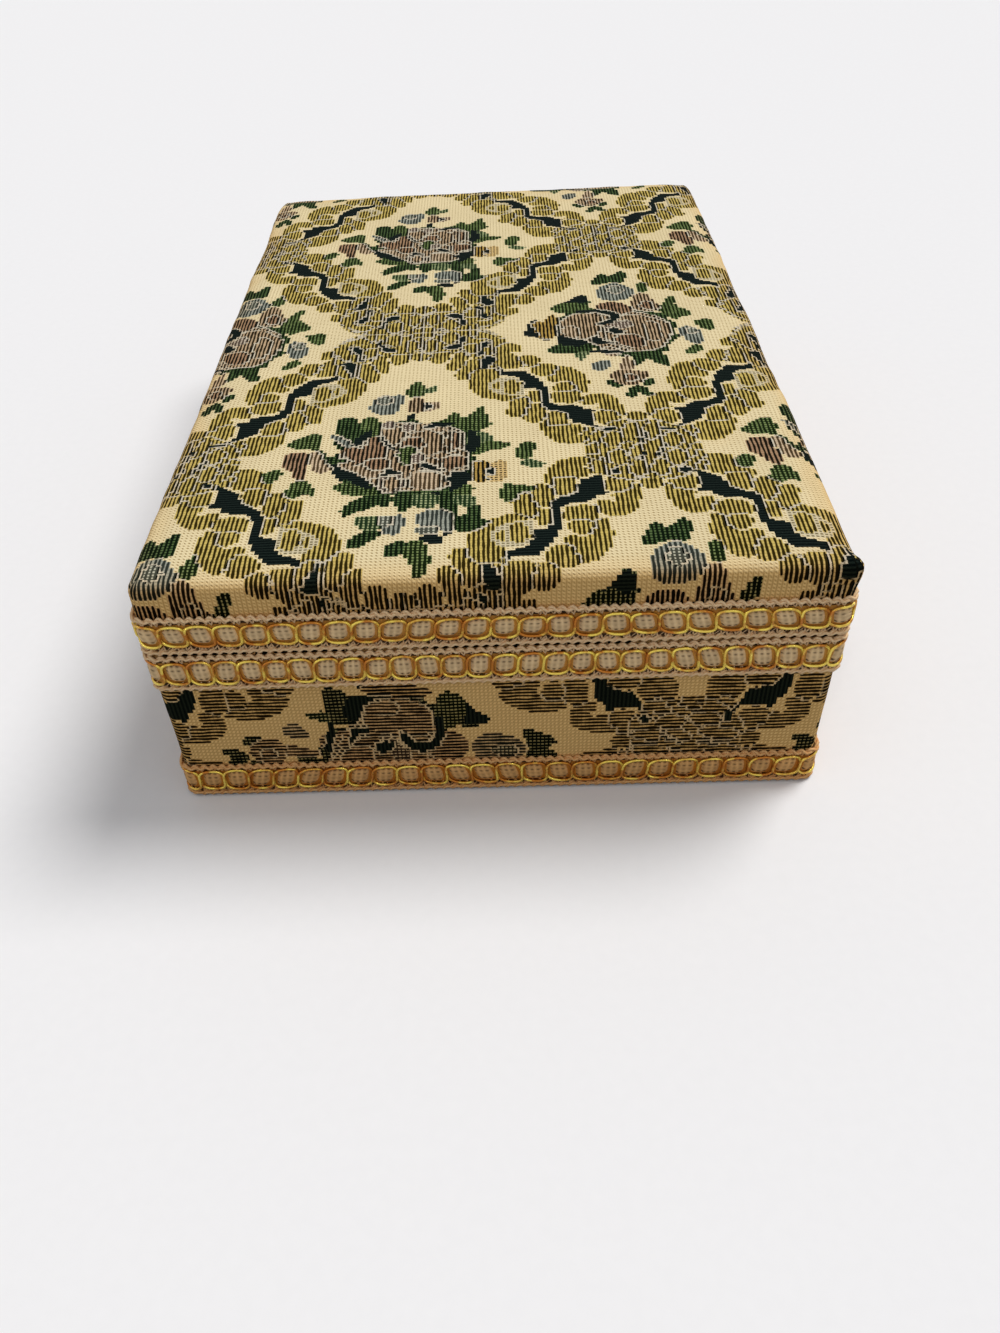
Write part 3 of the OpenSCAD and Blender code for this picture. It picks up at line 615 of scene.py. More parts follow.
class Wire:
    """A value on its way through a material's nodes. Arithmetic on it adds the Math nodes."""

    def __init__(self, tree, socket):
        self.tree, self.socket = tree, socket

    def node(self, kind, operation, values):
        node = self.tree.nodes.new(kind)
        node.operation = operation
        for socket, value in zip(node.inputs, values):
            if isinstance(value, Wire):
                self.tree.links.new(value.socket, socket)
            else:
                socket.default_value = value
        return Wire(self.tree, node.outputs[0])

    def maths(self, operation, *values):
        return self.node("ShaderNodeMath", operation, values)

    def __add__(self, other):
        return self.maths("ADD", self, other)

    def __sub__(self, other):
        return self.maths("SUBTRACT", self, other)

    def __rsub__(self, other):
        return self.maths("SUBTRACT", other, self)

    def __mul__(self, other):
        return self.maths("MULTIPLY", self, other)

    __radd__, __rmul__ = __add__, __mul__

    def fract(self):
        return self.maths("FRACT", self)

    def floor(self):
        return self.maths("FLOOR", self)

    def sin(self):
        return self.maths("SINE", self)

    def abs(self):
        return self.maths("ABSOLUTE", self)

    def square(self):
        return self.maths("MULTIPLY", self, self)

    def over(self, limit):
        """1 where the value is above the limit, else 0."""
        return self.maths("GREATER_THAN", self, limit)

    def rise(self, low, high):
        """0 below `low`, 1 above `high`, a straight ramp between them (either way round)."""
        node = self.tree.nodes.new("ShaderNodeMapRange")
        self.tree.links.new(self.socket, node.inputs["Value"])
        node.inputs["From Min"].default_value = low
        node.inputs["From Max"].default_value = high
        return Wire(self.tree, node.outputs["Result"])


class Finish:
    """A material under way: its nodes, its shader, and the few kinds of node that it uses."""

    def __init__(self, name, roughness, **sockets):
        self.material = bpy.data.materials.new(name)
        self.material.use_nodes = True
        self.tree = self.material.node_tree
        self.shader = self.tree.nodes["Principled BSDF"]
        self.shader.inputs["Roughness"].default_value = roughness
        for socket, value in sockets.items():
            self.shader.inputs[socket.replace("_", " ")].default_value = value

    def add(self, kind, **settings):
        node = self.tree.nodes.new(kind)
        for key, value in settings.items():
            setattr(node, key, value)
        return node

    def wire(self, socket):
        return Wire(self.tree, socket)

    def put(self, value, socket):
        """Links a wire to a socket, or writes a number or colour there."""
        if isinstance(value, Wire):
            self.tree.links.new(value.socket, socket)
        else:
            colour = isinstance(value, tuple) and len(value) == 3
            socket.default_value = (*value, 1.0) if colour else value

    def parts(self, vector):
        """The x, y and z of a vector wire."""
        node = self.add("ShaderNodeSeparateXYZ")
        self.put(vector, node.inputs[0])
        return [self.wire(s) for s in node.outputs]

    def uv(self, name):
        return self.wire(self.add("ShaderNodeUVMap", uv_map=name).outputs[0])

    def place(self):
        """Object coordinates, which here are the frame's own metres."""
        return self.wire(self.add("ShaderNodeTexCoord").outputs["Object"])

    def attribute(self, name):
        """A face attribute's colour and its fourth number."""
        node = self.add("ShaderNodeAttribute", attribute_name=name)
        return self.wire(node.outputs["Color"]), self.wire(node.outputs["Alpha"])

    def vector(self, x, y, z=0.0):
        node = self.add("ShaderNodeCombineXYZ")
        for value, socket in zip((x, y, z), node.inputs):
            self.put(value, socket)
        return self.wire(node.outputs[0])

    def noise(self, vector, scale, detail=1.0, rough=0.5):
        """Soft noise, about 0.3 to 0.7."""
        node = self.add("ShaderNodeTexNoise")
        self.put(vector, node.inputs["Vector"])
        node.inputs["Scale"].default_value = scale
        node.inputs["Detail"].default_value = detail
        node.inputs["Roughness"].default_value = rough
        return self.wire(node.outputs["Fac"])

    def mix(self, share, a, b):
        """Colour a, going over to colour b as the share goes from 0 to 1."""
        node = self.add("ShaderNodeMix", data_type="RGBA")
        self.put(share, node.inputs["Factor"])
        self.put(a, node.inputs[6])
        self.put(b, node.inputs[7])
        return self.wire(node.outputs[2])

    def lighten(self, colour, amount):
        """The colour times a number."""
        node = self.add("ShaderNodeVectorMath", operation="SCALE")
        self.put(colour, node.inputs[0])
        self.put(amount, node.inputs["Scale"])
        return self.wire(node.outputs[0])

    def times(self, colour, tint):
        """The colour times another, part by part."""
        node = self.add("ShaderNodeVectorMath", operation="MULTIPLY")
        self.put(colour, node.inputs[0])
        node.inputs[1].default_value = tint
        return self.wire(node.outputs[0])

    def shade_low_down(self, colour):
        """Painted shade low down: browner from 20 mm high, in full below 12 mm, for the warm shade near the
        floor.
        """
        _, _, high = self.parts(self.place())
        return self.mix(high.rise(0.020, 0.012), colour, self.times(colour, (0.88, 0.69, 0.48)))

    def finish(self, colour, height=None, depth=0.1 * MM, roughness=None):
        """Joins the colour, the relief and any varying roughness to the shader."""
        self.put(colour, self.shader.inputs["Base Color"])
        if roughness is not None:
            self.put(roughness, self.shader.inputs["Roughness"])
        if height is not None:
            bump = self.add("ShaderNodeBump")
            bump.inputs["Distance"].default_value = depth
            self.put(height, bump.inputs["Height"])
            self.put(self.wire(bump.outputs[0]), self.shader.inputs["Normal"])
        return self.material


def tapestry_finish():
    """Brocade, one pattern cell to a face. Within a cell u runs across the warp and v along it.
    Striped yarns show a dark warp thread beside a pale one, narrower towards the ends of its
    run, and broken ones a dark weft as well; their pale threads are painted darker towards the
    ends of each weft row, as painted shade on the rounded floats. The ground is pale ribs with
    grooves between them and small specks where the wefts cross, meshed yarns have larger dark
    dots, and plain ones are close and even. A pale thread, rubbed through here and there,
    outlines one side and the foot of a patch, with short teeth over its pale threads, and the
    other side has a dark rim. Below the soft top edge the sides of the box are painted warmer
    and darker than the top, with beiger pale threads, wider and darker dark threads and deeper
    grooves: painted shade for the sides that face away from the light."""
    f = Finish("tapestry brocade", 0.92, Specular_IOR_Level=0.02)
    u, v, _ = f.parts(f.uv("Threads"))
    pale, weave = f.attribute("pale yarn")
    dark, flags = f.attribute("dark yarn")
    x, y, end = u.fract(), v.fract(), u.floor()
    flags = (flags * 32 + 0.5).floor()
    side, foot, below, above, far = (((flags * 0.5 ** i).floor() * 0.5).fract() * 2 for i in range(5))

    place = f.place()
    sway = f.noise(f.vector(end * 3.7, v * 0.16), 1.0) - 0.5
    swell = f.noise(f.vector(end * 5.3 + 40, v * 0.35), 1.0) - 0.5
    shade = f.noise(f.vector(u * 0.30, v * 0.22, 7), 1.0) - 0.5
    _, _, high = f.parts(place)
    # Painted shade: this mask is 1 on the sides below the soft top edge, which face away from the light,
    # and 0 over the top.
    painted_side_shade = high.rise(0.0770, 0.0745)
    width = painted_side_shade * 0.06 + 0.275 + swell * 0.26 + shade * 0.30
    width = width - above * y.square() * 0.16 - below * (1 - y).square() * 0.16
    stripe = ((width - (x - 0.5 + sway * 0.5).abs()) * 7 + 0.5).rise(0, 1)

    striped, figured, plain = 1 - weave.over(0.1), weave.over(0.4), weave.over(0.7)
    leafy = weave.over(0.04) * striped
    ground, mesh = weave.over(0.1) * (1 - figured), figured * (1 - plain)

    weft = v * (PICK / WEFT)
    row = weft.fract() - 0.5
    stripe = (stripe + leafy * (row.abs() + sway * 0.3).rise(0.26, 0.40)).rise(0, 1)
    drift = (f.noise(f.vector(u * 0.8, weft * 0.8), 1.0, 2.0) - 0.5) * 0.5
    groove = (x - 0.5 + drift * 0.3).abs().rise(0.16, 0.5)
    speck = (x - 0.5 + row * 0.5 + drift).abs().rise(0.30, 0.10)
    speck = speck * (row + drift).abs().rise(0.38, 0.14)
    lean = f.noise(place, 60.0, 2.0).rise(0.40, 0.60)
    # The grooves are painted deeper on the sides, as painted shade.
    hole = speck * (0.95 - painted_side_shade * 0.2) + groove * (0.14 + lean * 0.12 + painted_side_shade * 0.6)
    dot = (x - 0.5 + drift).abs().rise(0.38, 0.22) * (row + drift).abs().rise(0.34, 0.18)
    uneven = f.noise(f.vector(u * 2.2, v * 3.1), 1.0, 2.0)
    fleck = (row.abs().rise(0.44, 0.1) * 0.6 + uneven).rise(0.5, 1.1)

    share = striped * stripe + ground * hole + mesh * dot + plain * fleck
    rim = far * (x + shade * 0.3).rise(0.60, 0.72) * (1 - ground)
    # Painted shade on the sides: pale threads go towards beige, dark ones darker.
    pale = f.mix(painted_side_shade * (1 - weave.over(0.04)) * 0.65, pale, srgb(216, 190, 152))
    pale = f.mix(painted_side_shade * leafy * 0.45, pale, srgb(176, 164, 136))
    dark = f.mix(painted_side_shade * striped, dark, f.times(dark, (0.3, 0.3, 0.3)))
    colour = f.mix(rim, f.mix(share, pale, dark), srgb(12, 15, 12))

    tooth = (1 - stripe) * striped
    ragged = (f.noise(f.vector(u * 1.3, v * 1.1, 3), 1.0, 2.0) - 0.5) * 0.5
    line = side * (x + ragged).rise(0.42, 0.28) + foot * (y - tooth * 0.9 + ragged).rise(0.68, 0.46)
    line = line.rise(0, 0.8) * f.noise(f.vector(u * 0.30, v * 0.22, 11), 1.0, 2.0).rise(0.36, 0.48)
    colour = f.mix(line, colour, srgb(208, 196, 172))

    fibre = f.noise(f.vector(u * 9, v * 2.2), 1.0, 2.0)
    # Painted shade: the pale threads darken towards the ends of each weft row, as if rounded floats dipped
    # under the weft.
    bead_shade = striped * (1 - stripe) * row.abs().rise(0.30, 0.5) * 0.45
    patchy = f.noise(place, 26.0, 3.0)
    colour = f.lighten(colour, 0.89 + fibre * 0.18 + patchy * 0.14 - bead_shade)
    # Painted shade: the sides are tinted warm and dark.
    colour = f.mix(painted_side_shade, colour, f.times(colour, (1.13, 0.885, 0.59)))
    height = (1 - share) * 0.6 + line * 0.5 + fibre * 0.35
    return f.finish(colour, height, 0.22 * MM)


BROCADE = tapestry_finish()


# The brocade covers.

GREEN = [i for i, k in enumerate(KINDS) if "leaf" in k or k == "core"]   # no line between these
WEAVE = np.array([YARNS[k][2] for k in KINDS])
PALE = np.array([YARNS[k][0] for k in KINDS])
DARK = np.array([YARNS[k][1] for k in KINDS])
COLUMN, ROW = END / MM, PICK / MM


def cloth_panel(points, across, along, u, v):
    """A grid for grids_object, with its cells' yarns. `across` and `along` are the cloth's own mm
    at the grid's points, and u and v count its threads there. A cell's flags say which of its
    neighbours is another patch: 1 to its left, 2 below it and 16 to its right where both are
    figured, 4 below it and 8 above it whatever they are."""
    def middle(a):
        return (a[:-1, :-1] + a[1:, :-1] + a[:-1, 1:] + a[1:, 1:]) / 4

    cx, cy = middle(across), middle(along)
    kind, patch = brocade(cx, cy)
    flags = np.zeros(kind.shape)
    for dx, dy, lined, any_end in ((-COLUMN, 0, 1, 0), (COLUMN, 0, 16, 0), (0, -ROW, 2, 4),
                                   (0, ROW, 0, 8)):
        near_kind, near_patch = brocade(cx + dx, cy + dy)
        differs = near_patch != patch
        figured = differs & ~(np.isin(kind, GREEN) & np.isin(near_kind, GREEN))
        for k in (kind, near_kind):
            figured = figured & (k > 0) & (k != KINDS.index("outline"))
        flags += lined * figured + any_end * differs
    cells = np.stack([kind.ravel(), flags.ravel()], axis=-1)
    return (points, np.stack([u, v], axis=-1)), cells


def cloth_object(name, panels):
    """One brocade piece from several cloth panels."""
    cells = np.concatenate([cells for _, cells in panels])
    kind, flags = cells[:, 0].astype(int), cells[:, 1] / 32
    values = {"pale yarn": np.column_stack([PALE[kind], WEAVE[kind]]),
              "dark yarn": np.column_stack([DARK[kind], flags])}
    return grids_object(name, [grid for grid, _ in panels], BROCADE, ("Threads",), values)


def lid_swell(points):
    """Moves the lid's cloth as it lies over wadding: outwards from an inner box by a low crown
    over the top and a few gentle lumps, with a folded ear at the front right corner and the
    others drawn in; towards the edges the top sinks by 1.1 mm. The way out is the direction
    from the nearest point of that inner box, and cloth inside the rim stays where it is."""
    half_w, half_d = 90, 140
    x, y, z = np.moveaxis(points, -1, 0) / MM
    core = np.array([STRAIGHT_X / MM - 2, STRAIGHT_Y / MM - 2, 72.0])
    near = np.stack([np.clip(x, -core[0], core[0]), np.clip(y, -core[1], core[1]),
                     np.minimum(z, core[2])], axis=-1)
    away = points / MM - near
    reach = np.linalg.norm(away, axis=-1)
    way = away / np.maximum(reach, 0.01)[..., None]
    crown = 0.5 * (1 - (x / half_w) ** 4) * (1 - (y / half_d) ** 4) * (z > 70)
    bumps = 0.16 * lumps(x, y, 42, 3) + 0.06 * lumps(x + z, y, 13, 8)
    bumps *= np.clip((z - 66) / 6, 0.15, 1)
    top = np.clip((z - 62) / 14, 0, 1)
    ears = 0.0
    for sx, sy, size, spread in ((1, -1, 2.9, 2.8), (-1, -1, -0.3, 7), (1, 1, -1.3, 5),
                                 (-1, 1, -1.5, 6)):
        far = np.hypot(x - half_w * sx, y - half_d * sy)
        ears = ears + size * np.exp(-(far / spread) ** 1.4)
    edge = np.minimum(half_w - np.abs(x), half_d - np.abs(y))
    sunk = 1.1 * np.exp(-(edge / 5.5) ** 2) * way[..., 2] ** 2
    amount = np.where(reach > 2.5, crown + bumps - sunk + ears * top ** 1.5, 0.0)
    return (points / MM + way * amount[..., None]) * MM


def lid_cover():
    """The lid's brocade: one cloth over the top and down all four sides, round the rim and a
    little way up inside, as it was cut: each side carries the pattern straight on."""
    corners = [(-RIM, 58.4 * MM), (-RIM, LID_LOW[2]), (0, LID_LOW[2]), (0, LID_HIGH[2]),
               (-CORNER_R, LID_HIGH[2])]
    path = rounded_path(corners, (0.8 * MM, 0.8 * MM, CORNER_R))
    length = path[1][-1]
    wide, deep = STRAIGHT_X / MM, STRAIGHT_Y / MM

    u, v = np.meshgrid(np.arange(TOP_ENDS + 1), np.arange(TOP_PICKS + 1))
    across, along = u * COLUMN - wide, v * ROW - deep
    top = np.stack([across * MM, along * MM, np.full(u.shape, LID_HIGH[2])], axis=-1)
    panels = [cloth_panel(lid_swell(top), across, along, u, v)]
    for side in range(4):
        half, cells, step_down = ((wide, TOP_ENDS, PICK), (deep, TOP_PICKS, END))[side % 2]
        steps = round(length / step_down)
        s = np.linspace(0, length, steps + 1)
        straight = np.linspace(-half, half, cells + 1)
        fan = CORNER_ARC / MM / 2 * np.array([1, 0.5])
        w = np.concatenate([-half - fan, straight, half + fan[::-1]])
        middle = side * (STRAIGHT_X + STRAIGHT_Y + CORNER_ARC)
        out, z = path_at(path, s)
        points = ring_grid(middle + w * MM, out, z)
        w, down = np.meshgrid(w, (length - s) / MM)
        count, step = np.meshgrid(np.arange(-2, len(straight) + 2), steps - np.arange(steps + 1))
        if side == 0:
            across, along, u, v = w, -deep - down, count, -step
        elif side == 1:
            across, along, u, v = wide + down, w, TOP_ENDS + step, count
        elif side == 2:
            across, along, u, v = -w, deep + down, TOP_ENDS - count, TOP_PICKS + step
        else:
            across, along, u, v = -wide - down, -w, -step, TOP_PICKS - count
        panels.append(cloth_panel(lid_swell(points), across, along, u, v))
    return cloth_object("lid_brocade", panels)


def base_cover():
    """The base's brocade: one strip round all four sides, turned under the floor and over the
    rim, with the cloth's length running round the box. Its ends meet at the back left corner."""
    corners = [(-12 * MM, BASE_LOW[2]), (0, BASE_LOW[2]), (0, BASE_HIGH[2]), (-RIM, BASE_HIGH[2]),
               (-RIM, 51 * MM)]
    path = rounded_path(corners, (2 * MM, 0.8 * MM, 0.8 * MM))
    length = path[1][-1]
    rows, cols = round(length / END), round(AROUND / PICK)
    s = np.linspace(0, length, rows + 1)
    out, z = path_at(path, s)
    start = -AROUND / 2 + STRAIGHT_X
    t = start + np.linspace(0, AROUND, cols + 1)
    points = ring_grid(t, out, z)
    high = points[..., 2] / MM
    face = (out[:, None] > -1 * MM) & (z[:, None] > 2 * MM)
    _, _, nx, ny = outline_point(t[None, :], out[:, None])
    push = 0.10 * lumps(t[None, :] / MM, high, 30, 5) * face
    push = push * np.sin(np.pi * np.clip(high / 54, 0, 1))
    points = points + np.stack([nx * push, ny * push, 0 * push], axis=-1) * MM
    at = s / MM - 12 + (4 - math.pi) * 1.0          # height up the face, by the cloth's own length
    along, height = np.meshgrid(t / MM + 22.1, at)  # along the cloth: 22.1 mm at mid-front
    across = 43.65 - (height - 17)                  # across it: 43.65 mm at 17 mm up
    v, u = np.meshgrid(np.arange(cols + 1), -np.arange(rows + 1))
    return cloth_object("base_brocade", [cloth_panel(points, across, along, u, v)])


lid_brocade = lid_cover()
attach(lid_brocade, "lid")
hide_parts("lid_cover")

base_brocade = base_cover()
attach(base_brocade, "base")
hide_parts("base_cover")


def hinge_cloth():
    """The strip of brocade glued over the back seam: flat, with its four edges turned down to
    the covers. Height above them = 0.55 mm * (1 - (1 - edge distance / 0.9 mm) squared)."""
    half, low, high = 86.0, 41.65, 67.65
    cols, rows = round(2 * half / COLUMN), round((high - low) / ROW)
    u, v = np.meshgrid(np.arange(cols + 1), np.arange(rows + 1))
    w, h = u / cols * 2 * half - half, v / rows * (high - low)
    near = np.minimum(np.minimum(half - np.abs(w), h), high - low - h)
    out = 0.03 + 0.55 * (1 - (1 - np.clip(near / 0.9, 0, 1)) ** 2)
    points = np.stack([-w, 140.0 + out, low + h], axis=-1) * MM
    return cloth_object("hinge_strip", [cloth_panel(points, w + 60, h + 30, u, v)])


hinge_strip = hinge_cloth()
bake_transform(hinge_strip)
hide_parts("hinge_cloth_base_leaf", "hinge_cloth_lid_leaf")


# The gimp braids. Their own measures are s along the band, h up from its middle and d outwards.


def cotton_finish():
    """Gimp cotton: fine slanted wefts, amber under the gold links, a row of pin holes near each
    edge painted near black as painted shade, slight soiling, and painted shade low down."""
    f = Finish("gimp cotton", 0.88, Specular_IOR_Level=0.15)
    u, v, _ = f.parts(f.uv("Surface"))
    fine = (u * 14.0 + f.noise(f.place(), 900.0) * 3).sin() * 0.5 + 0.5
    rib = (v * 9.0).sin() * 0.5 + 0.5
    soil = f.noise(f.place(), 180.0, 3.0)
    colour = f.mix(fine * 0.35 + rib * 0.15, srgb(186, 146, 104), srgb(126, 90, 60))
    # Painted shade: a near-black row near each edge, for the shade seen through pin holes that the tape
    # does not have.
    hole = (v.abs() - 4.15).abs().rise(0.85, 0.6) * 0.85
    colour = f.mix(v.abs().rise(3.9, 3.3), colour, f.mix(soil, srgb(236, 178, 92), srgb(190, 124, 44)))
    colour = f.mix(hole, f.lighten(colour, 0.75 + soil * 0.5), srgb(30, 16, 12))
    # Painted shade near the floor: browner low down.
    return f.finish(f.shade_low_down(colour), fine * 0.4 + rib * 0.3 - hole, 0.15 * MM)


def puff_finish():
    """Cotton core showing through the links: three soft ribs crossed by fine wefts, painted darker
    between the ribs and in two rows of gaps as painted shade, and painted shade low down.
    """
    f = Finish("gimp core cotton", 0.88, Specular_IOR_Level=0.15)
    u, v, _ = f.parts(f.uv("Surface"))
    ribs = (u * 6.28).sin() * 0.5 + 0.5
    wefts = (v * 6.28).sin() * 0.5 + 0.5
    soil = f.noise(f.place(), 400.0, 2.0)
    ends = (v.abs() - 1.25).abs().rise(0.75, 0.25)
    # Painted shade: darker between the ribs, and in rows of gaps near the top and foot of each puff.
    thin = (1 - ribs) * (1 - wefts).rise(0.3, 0.9) * (0.15 + ends * 0.7) + (1 - ribs) * 0.2
    colour = f.mix(thin, srgb(252, 216, 164), srgb(84, 54, 32))
    # Painted shade near the floor: browner low down.
    colour = f.shade_low_down(f.lighten(colour, 0.66 + soil * 0.6))
    return f.finish(colour, ribs * 0.6 + wefts * 0.4, 0.25 * MM)


def ply_finish():
    """Twisted cotton cord: fibres run along each ply, with a little fluff, and painted shade low
    down.
    """
    f = Finish("twisted cotton", 0.9, Specular_IOR_Level=0.15)
    u, v, _ = f.parts(f.uv("Surface"))
    fibre = f.noise(f.vector(u * 0.6, v * 8.0), 1.5, 2.0)
    colour = f.mix(fibre.rise(0.3, 0.7), srgb(222, 172, 124), srgb(255, 228, 182))
    # Painted shade near the floor: browner low down.
    return f.finish(f.shade_low_down(colour), fibre, 0.08 * MM)


def gold_finish():
    """Metal thread wound round a core: turns 0.22 mm apart, with painted shade in the grooves
    between them; part bright gilt, part rubbed down to ochre, the bright patches standing for
    real wear and painted glints both.
    """
    f = Finish("gilt cord", 0.3, Metallic=0.7, Specular_IOR_Level=0.9)
    u, v, _ = f.parts(f.uv("Surface"))
    turns = ((u * (1 / 0.22) + v).fract() - 0.5).abs() * 2
    wear_and_glint = f.noise(f.place(), 260.0, 3.0)
    # Bright gilt against rubbed ochre, from one noise that stands for real wear and for painted glints.
    colour = f.mix(wear_and_glint.rise(0.42, 0.58), srgb(255, 226, 96), srgb(196, 120, 16))
    # Painted shade in the grooves between the turns.
    colour = f.mix(turns * 0.45, colour, srgb(96, 46, 2))
    return f.finish(colour, turns, 0.05 * MM, wear_and_glint * 0.3 + 0.12)


COTTON, PUFF, PLY, GOLD = cotton_finish(), puff_finish(), ply_finish(), gold_finish()


class Band:
    """One braid's run round the box: from arc length t0 over `length`, middle at height z."""

    def __init__(self, t0, length, z, closed):
        self.t0, self.length, self.z, self.closed = t0, length, z, closed

    def points(self, s, h, d):
        """World points at (s, h, d) mm: out = d from the cloth, height = middle + h."""
        s, h, d = np.broadcast_arrays(s, h, d)
        x, y, _, _ = outline_point(self.t0 + s * MM, d * MM)
        return np.stack([x, y, self.z + h * MM], axis=-1)

    def cord(self, s, h, d, radius, sides):
        """A tube grid round the centre line (s, h, d): rows go round, columns along. Point =
        centre + radius * (cos a * side + sin a * up), with side = tangent x outward."""
        centre = np.stack([s, h, d], axis=-1)
        tangent = np.gradient(centre, axis=0)
        tangent /= np.linalg.norm(tangent, axis=1)[:, None]
        side = np.cross(tangent, (0.0, 0.0, 1.0))
        side /= np.linalg.norm(side, axis=1)[:, None]
        up = np.cross(side, tangent)
        thick = np.full(len(s), radius)
        if not self.closed:
            thick[0] = thick[-1] = 0.0
        a = np.linspace(0, 2 * math.pi, sides + 1)[:, None, None]
        ring = centre + thick[:, None] * (np.cos(a) * side + np.sin(a) * up)
        run = np.concatenate([[0], np.cumsum(np.linalg.norm(np.diff(centre, axis=0), axis=1))])
        uv = np.stack(np.broadcast_arrays(run[None, :], a[..., 0] / 6.2832), axis=-1)
        return self.points(*np.moveaxis(ring, -1, 0)), uv


def braid(name, band, body, node, pitch, tall):
    """The five pieces of one gimp braid: the cotton tape, the cotton puffs, two gold cords
    that cross between the puffs, a twisted cord along each edge, and the wefts that tie it on.
    `pitch` is the length of a link and `tall` half its height, in mm."""
    links = round(band.length / pitch / 2) * 2
    pitch = band.length / links

    # Tape: front profile low at the edges, slanted wefts near them, flat behind.
    turns = round(band.length / 3.5) * 2
    s = np.linspace(0, band.length, turns * 3 + 1)
    rows = np.concatenate([np.linspace(-5.15, 5.15, 15), [5.15, -5.15, -5.15]])
    front = np.concatenate([np.ones(15), np.zeros(2), [1]])
    level = 0.30 + 0.22 * np.cos(np.clip(np.abs(rows) / 3.6, 0, 1) * math.pi / 2)
    h, along = np.meshgrid(rows, s, indexing="ij")
    slant = np.cos(2 * math.pi * (along / band.length * turns + 0.35 * np.abs(h)))
    rib = 0.08 * slant * np.clip((np.abs(h) - 3.2) / 0.8, 0, 1)
    d = np.where(front[:, None] > 0, level[:, None] + rib, 0.03)
    if not band.closed:
        h[:, [0, -1]], d[:, [0, -1]] = 0.0, 0.4
    tape = grids_object(name + "_tape", [(band.points(along, h, d), np.stack([along, h], -1))], COTTON)
    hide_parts(node)

    # Puffs: along = 0.372 pitch * p * sqrt(1 - 0.3 q squared), the like for height, domed between.
    rng = np.random.default_rng(len(name) + links)
    p, q = np.meshgrid(np.linspace(-1, 1, 6), np.linspace(-1, 1, 6))
    dome = np.clip((1 - p ** 4) * (1 - q ** 4), 0, 1) ** 0.5
    skew = 0.16 * lumps(np.arange(links) * pitch, 0.0, 90, links) + rng.normal(0, 0.05, links)
    grow = rng.uniform(0.93, 1.05, links)
    grids = []
    for i in range(links):
        hh = (tall - 0.6) * grow[i] * q * np.sqrt(1 - 0.3 * p ** 2)
        ss = (i + 0.5) * pitch + 0.372 * pitch * p * np.sqrt(1 - 0.3 * q ** 2) + skew[i] * hh
        grids.append((band.points(ss, hh, 0.35 + 0.85 * dome), np.stack([p * 1.5, q * 2], -1)))
    puffs = grids_object(name + "_puffs", grids, PUFF, weld=0)

    # Gold: link by link, along = 1/2 - 1/2 cos^0.85, across = +-tall * sin^0.55 of a half turn.
    tau = np.linspace(0, links, links * 14 + 1)
    link = np.minimum(tau.astype(int), links - 1)
    psi = math.pi * (tau - link)
    cos = np.sign(np.cos(psi)) * np.abs(np.cos(psi)) ** 0.85
    sin = np.abs(np.sin(psi)) ** 0.55
    cords = []
    for strand in (1, -1):
        hh = strand * (-1.0) ** link * tall * grow[link] * sin
        ss = (link + 0.5 - 0.5 * cos) * pitch + skew[link] * hh * sin
        dd = 0.98 + strand * 0.28 * np.cos(math.pi * tau)
        cords.append(band.cord(ss, hh, dd, 0.45, 6))
    gold = grids_object(name + "_gold", cords, GOLD)

    # Edging: two plies on a helix, half a turn apart, along each edge, with a scallop to each
    # half turn.
    s = np.linspace(0, band.length, turns * 4 + 1)
    wave = 2 * math.pi * s / band.length * round(band.length / 5.2)
    scallop = 1 + 0.07 * np.cos(2 * wave + 0.6)
    cords = []
    for edge in (-5.22, 5.22):
        for ply in (0, math.pi):
            turn = wave * (1 if edge > 0 else -1) + ply
            height = edge * scallop + 0.36 * np.cos(turn)
            cords.append(band.cord(s, height, 0.80 + 0.36 * np.sin(turn), 0.42, 5))
    edging = grids_object(name + "_edging", cords, PLY)

    # Wefts: one thread goes up and down three times for each scallop, between the edging and the
    # gold, then drops behind to the next, which leaves a hole over the tape's row painted near
    # black as shade.
    s = np.linspace(0, band.length, turns * 5 + 1)
    phase = (s / band.length * turns / 2) % 1
    zig = np.interp(phase, (0, 0.2, 0.4, 0.6, 0.7, 1), (-1, 1, -1, 1, 1, -1))
    deep = np.interp(phase, (0, 0.05, 0.6, 0.7, 0.9, 1), (0.42, 0.66, 0.66, 0.20, 0.16, 0.42))
    cords = [band.cord(s - 0.25 * zig, side * (4.15 + 0.75 * zig), deep, 0.27, 4) for side in (-1, 1)]
    wefts = grids_object(name + "_wefts", cords, PLY)
    for piece in (tape, puffs, gold, edging, wefts):
        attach(piece, body)


SIDE_RUN = (STRAIGHT_X + 2 * STRAIGHT_Y + CORNER_ARC) / MM
for name, body, node, pitch, tall in (("lid_rim", "lid", "lid_rim_braid", 7.0, 3.3),
                                      ("base_rim", "base", "base_rim_braid", 6.65, 3.75),
                                      ("base_foot", "base", "base_foot_braid", 7.1, 3.75)):
    low, high = (np.array(c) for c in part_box(node))
    middle = (low[2] + high[2]) / 2
    if name == "base_foot":
        band = Band(-AROUND / 2, AROUND / MM, middle, True)
    else:
        band = Band(-SIDE_RUN * MM + 0.2 * MM, 2 * SIDE_RUN - 0.4, middle, False)
    braid(name, band, body, node, pitch, tall)


# The satin inside.


def satin_finish():
    """Old gold satin: long smooth floats, a faint line of the weave, slow shifts of tone."""
    f = Finish("old gold satin", 0.34, Specular_IOR_Level=0.5, Sheen_Weight=0.15,
               Sheen_Roughness=0.3, Anisotropic=0.5)
    x, y, z = f.parts(f.place())
    floats = f.noise(f.vector(x * 3000, y * 260, z * 700), 1.0, 2.0)
    shift = f.noise(f.place(), 14.0, 2.0)
    colour = f.mix(shift.rise(0.2, 0.8), srgb(218, 190, 138), srgb(204, 172, 114))
    colour = f.lighten(colour, 0.86 + floats * 0.28)
    return f.finish(colour, floats, 0.04 * MM, floats * 0.2 + 0.26)


SATIN = satin_finish()


